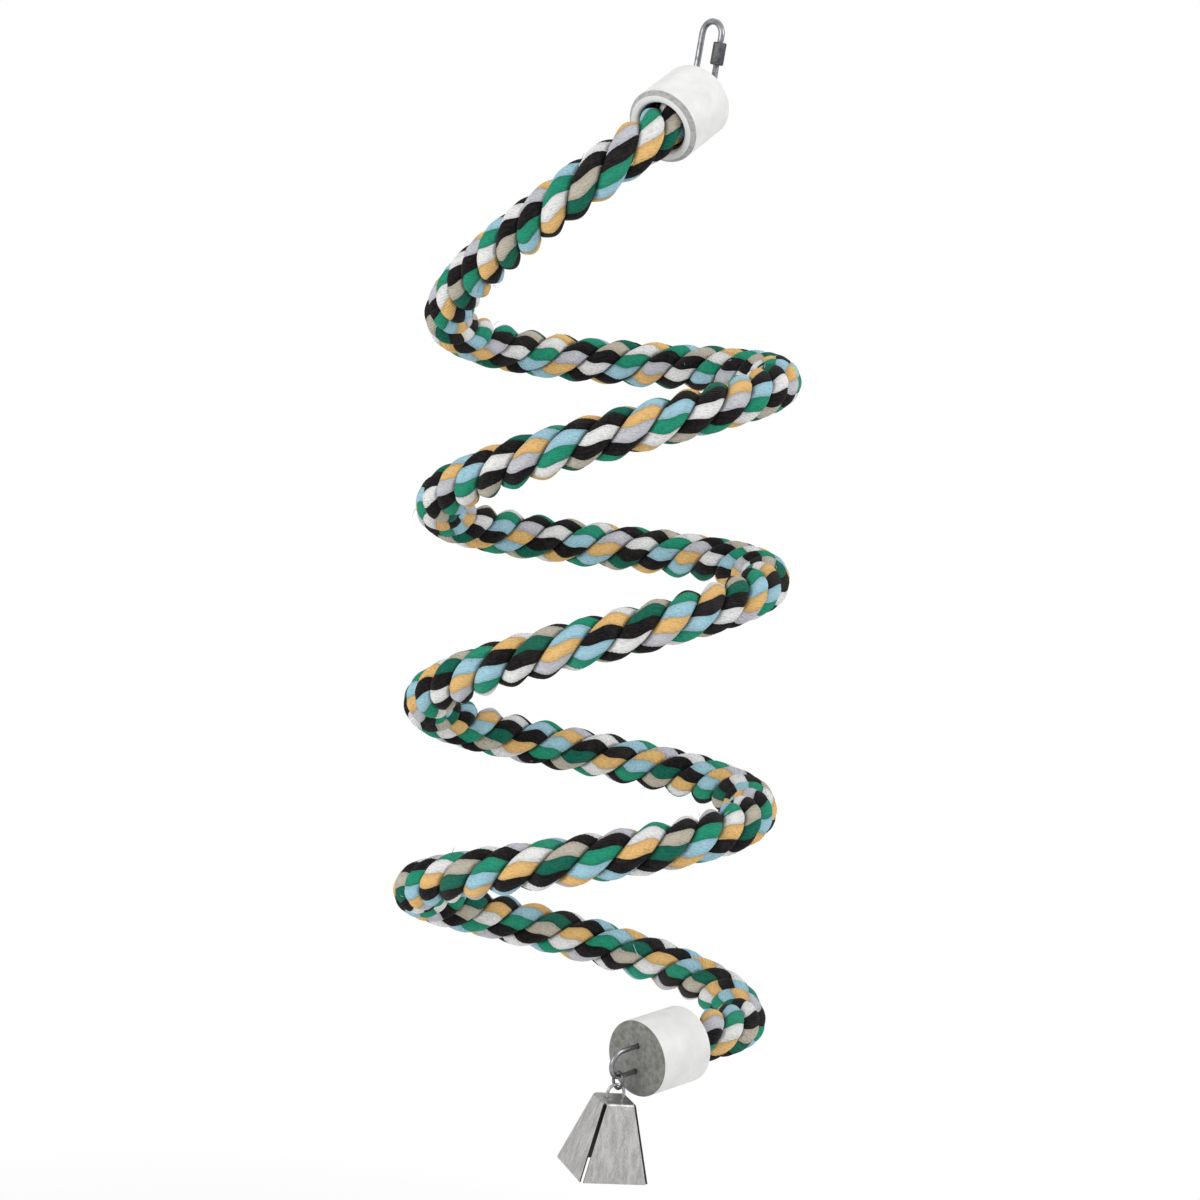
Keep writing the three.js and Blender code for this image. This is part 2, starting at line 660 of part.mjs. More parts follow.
const perch = new THREE.Group();
perch.name = 'spiral_rope_perch';
perch.add(
  turnedTo(
    new THREE.Vector3(),
    LINK_TURN_ANGLE,
    piece('quick_link_body', linkBody(), bareSteel),
    piece('quick_link_nut', linkNut(), zincPlate),
  ),
  capEnd('upper', UPPER_FACE, UPPER_OUT, UPPER_EYE_REACH),
  piece('rope_coil', ropeCoil(), cottonRope),
  piece('core_wire', coreLength(), coreWire),
  capEnd('lower', LOWER_FACE, LOWER_OUT, LOWER_EYE_REACH),
  turnedTo(RING_CENTRE, RING_TURN_ANGLE, piece('bell_ring', bellRing(), bareSteel)),
  turnedTo(
    BELL_ORIGIN,
    BELL_TURN_ANGLE,
    piece('bell_shell', bellShell(), nickelSheet),
    piece('bell_bail', bellBail(), bareSteel),
    piece('clapper_stem', clapperStem(), bareSteel),
    piece('clapper_ball', clapperBall(), castBall),
  ),
);

export default perch;
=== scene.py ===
"""Looks of a hanging spiral rope perch for a bird, with a small folded bell below it.

A thick three-strand cotton rope on a wire core is wound into an open coil. It hangs by a quick link from a
white end cap, and a second cap carries the bell. Sizes are in metres, +Z is up, +X is to the right and +Y is
away from the viewer. The origin is where the link hangs, inside its upper bend.
"""

import logging
import math
from dataclasses import dataclass
from enum import Enum
from typing import Iterable, Sequence

import bmesh
import bpy
import numpy as np
from mathutils import Matrix, Vector


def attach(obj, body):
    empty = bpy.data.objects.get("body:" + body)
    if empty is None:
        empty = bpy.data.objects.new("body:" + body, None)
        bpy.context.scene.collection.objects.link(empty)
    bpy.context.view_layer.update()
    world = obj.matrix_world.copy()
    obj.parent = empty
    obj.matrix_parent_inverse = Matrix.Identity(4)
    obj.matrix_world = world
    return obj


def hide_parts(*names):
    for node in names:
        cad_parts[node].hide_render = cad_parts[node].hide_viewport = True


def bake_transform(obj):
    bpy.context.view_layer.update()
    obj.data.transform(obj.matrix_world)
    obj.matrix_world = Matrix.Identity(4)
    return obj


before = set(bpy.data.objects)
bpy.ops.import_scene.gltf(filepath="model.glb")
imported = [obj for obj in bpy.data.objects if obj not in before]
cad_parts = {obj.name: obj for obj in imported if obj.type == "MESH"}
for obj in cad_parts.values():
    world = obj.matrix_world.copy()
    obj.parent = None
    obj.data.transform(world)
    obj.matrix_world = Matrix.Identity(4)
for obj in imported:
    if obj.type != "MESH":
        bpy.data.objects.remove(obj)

MM = 0.001
UP = Vector((0.0, 0.0, 1.0))
LOG = logging.getLogger("spiral_rope_perch")

# The gap between pieces where one seats in or on another
FIT = 0.3 * MM
# How far a solid that shapes another stands past it
PAST = 0.01 * MM
# Points nearer than this are one point while a mesh is modelled
MERGE = 1e-7
# Edges shorter than this are taken out of a turned solid
SLIVER = 1e-8
# Points nearer than this are one point after a cut
WELD = 0.001 * MM
# Edges that turn more than this many degrees stay sharp on a cut or joined piece
CREASE = 40.0
# The share of a wire's diameter that its cut ends are eased by
WIRE_EASE = 0.16

Colour = tuple[float, float, float, float]
Socket = bpy.types.NodeSocket


class Side(Enum):
    """Which end of the rope a cap closes."""

    UPPER = "upper"
    LOWER = "lower"


class Body(Enum):
    """The moving groups that pieces ride on."""

    HANGER = "hanger"
    LINK_NUT = "link_nut"
    UPPER = "perch_upper"
    LOWER = "perch_lower"
    RING = "ring"
    BELL = "bell"
    CLAPPER = "clapper"


class Carve(Enum):
    """How one solid works on another."""

    CUT = "DIFFERENCE"
    KEEP_COMMON = "INTERSECT"


# Directions and places


def heading(turn: float, rise: float = 0.0) -> Vector:
    """A unit vector turned about Z from +X, and raised from level.

    Args:
        turn: Degrees about Z.
        rise: Degrees above level.

    Returns:
        The direction.
    """
    level = math.cos(math.radians(rise))
    t = math.radians(turn)
    return Vector((level * math.cos(t), level * math.sin(t), math.sin(math.radians(rise))))


def facing(origin: Vector, out: Vector) -> Matrix:
    """The place of a piece whose own +Z points along a direction and +Y as nearly up as it can.

    Args:
        origin: Where the piece's own origin goes.
        out: Where its +Z points.

    Returns:
        The matrix from the piece's own frame to the object's.
    """
    upward = (UP - out * UP.dot(out)).normalized()
    across = upward.cross(out)
    turn = Matrix((across, upward, out)).transposed().to_4x4()
    return Matrix.Translation(origin) @ turn


def turned_to(origin: Vector, turn: float) -> Matrix:
    """The place of a piece whose own origin goes to a point, turned by degrees about Z."""
    return Matrix.Translation(origin) @ Matrix.Rotation(math.radians(turn), 4, "Z")


def arc(centre: Vector, across: Vector, upward: Vector, radius: float, start: float, end: float,
        step: float = 6.0) -> list[Vector]:
    """Points on a circular arc in the plane of two axes.

    Args:
        centre: The arc's centre.
        across: The axis at 0 degrees.
        upward: The axis at 90 degrees.
        radius: The arc's radius.
        start: The first angle in degrees.
        end: The last angle in degrees.
        step: Degrees between points, at most.

    Returns:
        The points in order.
    """
    count = max(2, math.ceil(abs(end - start) / step))
    angles = [math.radians(start + (end - start) * i / count) for i in range(count + 1)]
    return [centre + across * (radius * math.cos(a)) + upward * (radius * math.sin(a)) for a in angles]


def bend(start: Vector, leaving: Vector, end: Vector, arriving: Vector, pull: float,
         count: int = 12) -> list[Vector]:
    """Points on a smooth bend from one point and direction to another.

    Args:
        start: The first point.
        leaving: The direction at the first point.
        end: The last point.
        arriving: The direction at the last point.
        pull: How far each handle reaches.
        count: Steps along the bend.

    Returns:
        The points in order.
    """
    a, b = start + leaving * pull, end - arriving * pull
    points = []
    for i in range(count + 1):
        t = i / count
        u = 1 - t
        points.append(start * u**3 + a * (3 * u * u * t) + b * (3 * u * t * t) + end * t**3)
    return points


def gone_along(line: np.ndarray) -> np.ndarray:
    """The length gone at each point of a line that has one row for each point."""
    return np.concatenate([[0], np.cumsum(np.linalg.norm(np.diff(line, axis=0), axis=1))])


# Meshes


def new_object(name: str, mesh: bpy.types.Mesh) -> bpy.types.Object:
    """Links a mesh into the scene as an object at the origin.

    Args:
        name: The piece's name.
        mesh: Its mesh, in place.

    Returns:
        The new object.
    """
    obj = bpy.data.objects.new(name, mesh)
    bpy.context.scene.collection.objects.link(obj)
    return obj


def finish_mesh(bm: bmesh.types.BMesh, name: str, crease: float = 32.0) -> bpy.types.Object:
    """Merges doubles, turns the faces outwards, shades smooth with sharp edges kept, and makes the object.

    Args:
        bm: The mesh as built, which is freed.
        name: The piece's name.
        crease: Edges that turn more than this many degrees stay sharp.

    Returns:
        The new object.
    """
    bmesh.ops.remove_doubles(bm, verts=bm.verts[:], dist=MERGE)
    bmesh.ops.recalc_face_normals(bm, faces=bm.faces[:])
    for face in bm.faces:
        face.smooth = True
    for edge in bm.edges:
        edge.smooth = edge.is_manifold and edge.calc_face_angle(0.0) < math.radians(crease)
    mesh = bpy.data.meshes.new(name)
    bm.to_mesh(mesh)
    bm.free()
    return new_object(name, mesh)


def turned(name: str, profile: Sequence[tuple[float, float]], steps: int = 96,
           crease: float = 32.0) -> bpy.types.Object:
    """A revolved solid about Z.

    Args:
        name: The piece's name.
        profile: Radius and height of each point in turn.
        steps: Steps round the axis.
        crease: Edges that turn more than this many degrees stay sharp.

    Returns:
        The new object.
    """
    bm = bmesh.new()
    verts = [bm.verts.new((radius, 0.0, height)) for radius, height in profile]
    edges = [bm.edges.new(pair) for pair in zip(verts, verts[1:])]
    bmesh.ops.spin(bm, geom=verts + edges, cent=(0, 0, 0), axis=(0, 0, 1), angle=2 * math.pi,
                   steps=steps, use_merge=True, dvec=(0, 0, 0))
    bmesh.ops.remove_doubles(bm, verts=bm.verts[:], dist=MERGE)
    bmesh.ops.dissolve_degenerate(bm, edges=bm.edges[:], dist=SLIVER)
    return finish_mesh(bm, name, crease)


def bar(name: str, diameter: float, low: float, high: float, sides: int = 32) -> bpy.types.Object:
    """A round bar about Z from one height to another.

    Args:
        name: The piece's name.
        diameter: Its diameter.
        low: Its lower end.
        high: Its upper end.
        sides: Facets round it.

    Returns:
        The new object.
    """
    bm = bmesh.new()
    bmesh.ops.create_cone(bm, cap_ends=True, segments=sides, radius1=diameter / 2,
                          radius2=diameter / 2, depth=high - low,
                          matrix=Matrix.Translation((0, 0, (low + high) / 2)))
    return finish_mesh(bm, name)


def round_curve(name: str, diameter: float, resolution: int) -> bpy.types.Curve:
    """A thick round curve with closed ends and no spline yet.

    Args:
        name: The curve's name.
        diameter: Its diameter.
        resolution: How finely it is round.

    Returns:
        The curve.
    """
    data = bpy.data.curves.new(name, "CURVE")
    data.dimensions = "3D"
    data.bevel_depth = diameter / 2
    data.bevel_resolution = resolution
    data.use_fill_caps = True
    return data


def meshed(data: bpy.types.Curve) -> bpy.types.Mesh:
    """Turns a curve into a mesh.

    Args:
        data: The curve, which is used up.

    Returns:
        Its mesh.
    """
    holder = bpy.data.objects.new(data.name, data)
    mesh = bpy.data.meshes.new_from_object(holder)
    bpy.data.objects.remove(holder)
    bpy.data.curves.remove(data)
    return mesh


def wire(name: str, points: Sequence[Vector], diameter: float, sides: int = 20) -> bpy.types.Object:
    """A round wire along points, with its two cut ends eased.

    Args:
        name: The piece's name.
        points: The wire's middle line.
        diameter: The wire's diameter.
        sides: Facets round it.

    Returns:
        The new object.
    """
    data = round_curve(name, diameter, (sides - 4) // 2)
    spline = data.splines.new("POLY")
    spline.points.add(len(points) - 1)
    for place, point in zip(spline.points, points):
        place.co = (*point, 1.0)
    bm = bmesh.new()
    bm.from_mesh(meshed(data))
    bmesh.ops.remove_doubles(bm, verts=bm.verts[:], dist=MERGE)
    rims = [e for e in bm.edges if any(len(f.verts) > 4 for f in e.link_faces)]
    bmesh.ops.bevel(bm, geom=rims, offset=WIRE_EASE * diameter, offset_type="OFFSET", affect="EDGES",
                    segments=2, profile=0.5, material=-1, clamp_overlap=True)
    return finish_mesh(bm, name, crease=50.0)


def joined(name: str, parts: Sequence[bpy.types.Object]) -> bpy.types.Object:
    """One object from several, which are used up.

    Args:
        name: The new piece's name.
        parts: The objects that it is made of.

    Returns:
        The new object.
    """
    bm = bmesh.new()
    for part in parts:
        bm.from_mesh(part.data)
        bpy.data.objects.remove(part)
    return finish_mesh(bm, name, CREASE)


def settle(obj: bpy.types.Object) -> bpy.types.Object:
    """Turns an object's modifiers into its mesh.

    Args:
        obj: The object with modifiers.

    Returns:
        The same object.
    """
    bpy.context.view_layer.update()
    graph = bpy.context.evaluated_depsgraph_get()
    mesh = bpy.data.meshes.new_from_object(obj.evaluated_get(graph))
    obj.modifiers.clear()
    obj.data = mesh
    return obj


def weld(obj: bpy.types.Object) -> bpy.types.Object:
    """Joins points that lie at one place, so that no face without an area is left.

    Args:
        obj: The object, whose modifiers are settled.

    Returns:
        The same object.
    """
    bm = bmesh.new()
    bm.from_mesh(obj.data)
    bmesh.ops.remove_doubles(bm, verts=bm.verts, dist=WELD)
    bm.to_mesh(obj.data)
    bm.free()
    return obj


def carve(target: bpy.types.Object, tool: bpy.types.Object, how: Carve) -> bpy.types.Object:
    """Cuts one solid with another, which is used up.

    Args:
        target: The solid that stays.
        tool: The solid that cuts.
        how: Whether the tool is taken away or the common part kept.

    Returns:
        The target.
    """
    modifier = target.modifiers.new("carve", "BOOLEAN")
    modifier.operation = how.value
    modifier.solver = "EXACT"
    modifier.object = tool
    settle(target)
    bpy.data.objects.remove(tool)
    return weld(target)


def face_up(obj: bpy.types.Object) -> None:
    """Turns an open sheet over if it faces down."""
    if obj.data.polygons[0].normal.z < 0:
        obj.data.flip_normals()


def bore_pair(target: bpy.types.Object, leg: float, reach: Vector, wall: float, sides: int) -> None:
    """Bores two holes for a wire's legs through a wall whose upper face is at the piece's own origin.

    Args:
        target: The piece with the wall.
        leg: The wire's diameter.
        reach: From the piece's own axis to the first hole. The second is opposite.
        wall: The wall's thickness.
        sides: Facets round each hole.
    """
    for place in (reach, -reach):
        hole = bar("hole", leg + 2 * FIT, -2 * wall, wall, sides)
        hole.data.transform(Matrix.Translation(place))
        carve(target, hole, Carve.CUT)


def shade_smooth(obj: bpy.types.Object) -> None:
    """Shades an object smooth, apart from its sharp edges.

    Args:
        obj: The object, whose modifiers are settled.
    """
    for face in obj.data.polygons:
        face.use_smooth = True
    obj.data.set_sharp_from_angle(angle=math.radians(CREASE))


def ease_edges(obj: bpy.types.Object, width: float, angle: float) -> bpy.types.Object:
    """Rounds an object's sharp edges and shades it smooth.

    Args:
        obj: The object.
        width: How wide the rounding is.
        angle: Edges that turn more than this many degrees are rounded.

    Returns:
        The same object.
    """
    modifier = obj.modifiers.new("eased", "BEVEL")
    modifier.width = width
    modifier.segments = 2
    modifier.limit_method = "ANGLE"
    modifier.angle_limit = math.radians(angle)
    modifier.harden_normals = False
    settle(obj)
    shade_smooth(obj)
    return obj


def mark_faces(obj: bpy.types.Object, name: str, values: Sequence[float]) -> None:
    """Gives each face of a piece a number, under a name that its finish reads."""
    marks = obj.data.attributes.new(name, "FLOAT", "FACE")
    marks.data.foreach_set("value", np.array(values, np.float32))


# Finishes


def dyed(red: int, green: int, blue: int) -> Colour:
    """A colour from display values of 0 to 255, as the shaders take it."""
    def linear(value: int) -> float:
        """One channel without the display's curve."""
        share = value / 255
        return share / 12.92 if share <= 0.04045 else ((share + 0.055) / 1.055) ** 2.4
    return (linear(red), linear(green), linear(blue), 1.0)


@dataclass(frozen=True)
class Grain:
    """Soft noise: how fine it is, how many finer layers it has, and how strong they are."""

    scale: float
    detail: float = 2.0
    rough: float = 0.5


class Nodes:
    """A node tree as it is written."""

    def __init__(self, tree: bpy.types.NodeTree) -> None:
        """Takes a tree and empties it."""
        self.tree = tree
        tree.nodes.clear()

    def add(self, kind: str, sockets: dict | None = None, **settings) -> bpy.types.Node:
        """Adds a node.

        Args:
            kind: The node's type.
            sockets: What its inputs hold, a value or another node's output, by name or number.
            **settings: Its own settings.

        Returns:
            The node.
        """
        node = self.tree.nodes.new(kind)
        for key, value in settings.items():
            setattr(node, key, value)
        for key, value in (sockets or {}).items():
            self.feed(node.inputs[key], value)
        return node

    def feed(self, socket: Socket, value: object) -> None:
        """Links an output to an input, or sets the input's own value.

        Args:
            socket: The input.
            value: Another node's output, or a plain value.
        """
        if isinstance(value, bpy.types.NodeSocket):
            self.tree.links.new(value, socket)
        else:
            socket.default_value = value

    def math(self, operation: str, a: object, b: object = 0.0, c: object = 0.0) -> Socket:
        """One arithmetic step on up to three values or outputs."""
        return self.add("ShaderNodeMath", {0: a, 1: b, 2: c}, operation=operation).outputs[0]

    def span(self, value: Socket, low: float, high: float, start: float = 0.0, end: float = 1.0) -> Socket:
        """A value moved from one range to another, and kept within it.

        Args:
            value: The value.
            low: What the range's start becomes.
            high: What the range's end becomes.
            start: The range's start.
            end: The range's end.

        Returns:
            The value output.
        """
        return self.add("ShaderNodeMapRange", {
            "Value": value, "From Min": start, "From Max": end, "To Min": low, "To Max": high,
        }).outputs[0]


class Shader(Nodes):
    """A material's node tree, with its surface and its output."""

    def __init__(self, name: str) -> None:
        """Starts a material with nothing but its output and surface.

        Args:
            name: The material's name.
        """
        self.material = bpy.data.materials.new(name)
        self.material.use_nodes = True
        super().__init__(self.material.node_tree)
        self.surface = self.add("ShaderNodeBsdfPrincipled")
        self.output = self.add("ShaderNodeOutputMaterial", {"Surface": self.surface.outputs[0]})

    def base(self, **values: object) -> None:
        """Sets inputs of the surface, written with _ for a space."""
        for key, value in values.items():
            self.feed(self.surface.inputs[key.replace("_", " ")], value)

    def place(self, scale: Sequence[float] = (1, 1, 1), turn: Sequence[float] = (0, 0, 0),
              origin: Sequence[float] = (0, 0, 0)) -> Socket:
        """The object's own coordinates, centred, turned and scaled.

        Args:
            scale: The scale along each axis.
            turn: The turn about each axis, in degrees.
            origin: The shift after both.

        Returns:
            The vector output.
        """
        coordinates = self.add("ShaderNodeTexCoord").outputs["Object"]
        mapping = self.add("ShaderNodeMapping", {
            "Vector": coordinates,
            "Scale": tuple(scale),
            "Rotation": tuple(math.radians(a) for a in turn),
            "Location": tuple(origin),
        })
        return mapping.outputs[0]

    def noise(self, vector: Socket, grain: Grain) -> Socket:
        """Soft noise from 0 to 1, read at a vector."""
        return self.add("ShaderNodeTexNoise", {
            "Vector": vector, "Scale": grain.scale, "Detail": grain.detail, "Roughness": grain.rough,
        }).outputs[0]

    def mark(self, name: str) -> Socket:
        """The number that a piece's mesh carries under a name."""
        return self.add("ShaderNodeAttribute", attribute_name=name).outputs["Fac"]

    def patched(self, value: Socket, start: float, end: float, a: Colour, b: Colour) -> Socket:
        """The first colour up to a value's start, the second past its end, and both between."""
        return self.mix(self.span(value, 0.0, 1.0, start, end), a, b)

    def mix(self, share: object, a: object, b: object) -> Socket:
        """Two colours mixed, with the second's share as a value or an output."""
        return self.add("ShaderNodeMix", {0: share, 6: a, 7: b}, data_type="RGBA").outputs[2]

    def bump(self, height: Socket, distance: float, strength: float = 1.0,
             under: Socket | None = None) -> Socket:
        """A bumped normal.

        Args:
            height: The height from 0 to 1.
            distance: How far 1 stands out, in metres.
            strength: How strongly it shows.
            under: A normal that it adds to.

        Returns:
            The normal output.
        """
        sockets = {"Height": height, "Distance": distance, "Strength": strength}
        if under is not None:
            sockets["Normal"] = under
        return self.add("ShaderNodeBump", sockets).outputs[0]


@dataclass(frozen=True)
class Finish:
    """A finish and the record's slot that it belongs to."""

    name: str
    slot: str

    def make(self) -> bpy.types.Material:
        """The finish as a material."""
        raise NotImplementedError

    def material(self) -> bpy.types.Material:
        """The finish as a material, made once and then shared."""
        return bpy.data.materials.get(self.name) or self.make()


@dataclass(frozen=True)
class DrawnWire(Finish):
    """Bright drawn wire with a few dull patches and fine marks."""

    colour: Colour = dyed(178, 179, 180)
    shade: Colour = dyed(138, 139, 140)
    smooth: float = 0.24
    rough: float = 0.42
    patches: Grain = Grain(260.0, 3.0, 0.55)
    marks: Grain = Grain(2400.0)
    mark_depth: float = 0.02 * MM

    def make(self) -> bpy.types.Material:
        """The wire as a material."""
        shader = Shader(self.name)
        patches = shader.noise(shader.place(), self.patches)
        marks = shader.noise(shader.place((1, 1, 0.15)), self.marks)
        dull = shader.math("MULTIPLY_ADD", marks, 0.3, patches)
        shader.base(
            Base_Color=shader.patched(patches, 0.36, 0.68, self.colour, self.shade),
            Metallic=1.0,
            Roughness=shader.span(dull, self.smooth, self.rough, 0.4, 0.95),
            Normal=shader.bump(marks, self.mark_depth, 0.15),
        )
        return shader.material


@dataclass(frozen=True)
class PlatedSteel(Finish):
    """Dull plate on turned steel, with cutting marks round it."""

    colour: Colour = dyed(92, 94, 97)
    shade: Colour = dyed(58, 59, 61)
    spangle: Grain = Grain(900.0, 3.0, 0.65)
    marks: Grain = Grain(6000.0)
    mark_depth: float = 0.03 * MM

    def make(self) -> bpy.types.Material:
        """The plate as a material."""
        shader = Shader(self.name)
        spangle = shader.noise(shader.place(), self.spangle)
        marks = shader.noise(shader.place((0.2, 0.2, 1)), self.marks)
        dull = shader.math("MULTIPLY_ADD", marks, 0.4, spangle)
        shader.base(
            Base_Color=shader.patched(spangle, 0.35, 0.68, self.shade, self.colour),
            Metallic=1.0,
            Roughness=shader.span(dull, 0.32, 0.6, 0.4, 1.0),
            Normal=shader.bump(marks, self.mark_depth, 0.5),
        )
        return shader.material


@dataclass(frozen=True)
class BrushedSheet(Finish):
    """Thin sheet with fine upright brushing outside, and dark painted shade inside and at its cut edges."""

    colour: Colour = dyed(192, 191, 190)
    shade: Colour = dyed(154, 153, 152)
    # Painted shade inside the bell and at its cut edges, in two tones
    inner_shade: Colour = dyed(52, 51, 50)
    inner_shade_deep: Colour = dyed(30, 29, 28)
    brushing: Grain = Grain(2600.0, 3.0, 0.65)
    broad: Grain = Grain(420.0)
    inner_shade_mottle: Grain = Grain(300.0, 4.0, 0.65)
    brushing_depth: float = 0.03 * MM

    def make(self) -> bpy.types.Material:
        """The sheet as a material."""
        shader = Shader(self.name)
        brushing = shader.noise(shader.place((1, 1, 0.02)), self.brushing)
        broad = shader.noise(shader.place((1, 1, 0.04)), self.broad)
        inner_shade_mottle = shader.noise(shader.place(), self.inner_shade_mottle)
        tone = shader.math("MULTIPLY_ADD", brushing, 0.6, shader.math("MULTIPLY", broad, 0.5))
        # Faces inside the bell and at its cut edges are painted dark as shade
        inside = shader.mark("inner_shade")
        plated = shader.patched(tone, 0.44, 0.66, self.colour, self.shade)
        painted_inner_shade = shader.patched(inner_shade_mottle, 0.35, 0.65, self.inner_shade, self.inner_shade_deep)
        sheen = shader.span(tone, 0.34, 0.48, 0.3, 0.8)
        shader.base(
            Base_Color=shader.mix(inside, plated, painted_inner_shade),
            Metallic=shader.span(inside, 1.0, 0.4),
            Roughness=shader.math("MULTIPLY_ADD", inside, 0.3, sheen),
            Normal=shader.bump(brushing, self.brushing_depth, 0.3),
        )
        return shader.material


@dataclass(frozen=True)
class MouldedPlastic(Finish):
    """White moulded plastic, faintly mottled and scuffed, with painted shade in grime-like specks at its
    mouth's edge and painted shade on its end.
    """

    colour: Colour = dyed(238, 238, 236)
    shade: Colour = dyed(226, 227, 226)
    scuff: Colour = dyed(206, 206, 205)
    # Painted shade, in specks like grime, on the outer chamfer at the cap's mouth
    grime_and_shade: Colour = dyed(150, 150, 148)
    # Painted shade on the end wall, with darker specks
    end: Colour = dyed(132, 132, 127)
    end_shade_speck: Colour = dyed(102, 102, 97)
    mottle: Grain = Grain(95.0, 4.0, 0.6)
    skin: Grain = Grain(3400.0)
    specks: Grain = Grain(360.0, 3.0, 0.6)
    scuffs: Grain = Grain(260.0, 5.0, 0.75)
    skin_depth: float = 0.02 * MM

    def make(self) -> bpy.types.Material:
        """The plastic as a material."""
        shader = Shader(self.name)
        mottle = shader.noise(shader.place(), self.mottle)
        skin = shader.noise(shader.place(), self.skin)
        specks = shader.noise(shader.place(), self.specks)
        scuffs = shader.noise(shader.place((1, 1, 4), (20, 35, 10)), self.scuffs)
        body = shader.patched(mottle, 0.36, 0.68, self.colour, self.shade)
        worn = shader.mix(shader.span(scuffs, 0.0, 0.5, 0.62, 0.82), body, self.scuff)
        # The rim's chamfer is painted darker in specks: painted shade that looks like grime
        rim_shade_specks = shader.math("MULTIPLY", shader.mark("rim"), shader.span(specks, 0.65, 1.0, 0.35, 0.65))
        rim_shaded = shader.mix(rim_shade_specks, worn, self.grime_and_shade)
        # The end wall is painted dark as shade, in specks
        wall = shader.mark("end_wall")
        painted_end_shade = shader.patched(specks, 0.4, 0.66, self.end, self.end_shade_speck)
        gloss = shader.span(shader.math("MULTIPLY_ADD", scuffs, 0.5, mottle), 0.34, 0.5, 0.5, 1.0)
        shader.base(
            Base_Color=shader.mix(wall, rim_shaded, painted_end_shade),
            Roughness=shader.math("MULTIPLY_ADD", wall, 0.25, gloss),
            Normal=shader.bump(skin, self.skin_depth, 0.25),
        )
        shader.base(Specular_IOR_Level=0.5, IOR=1.49)
        return shader.material


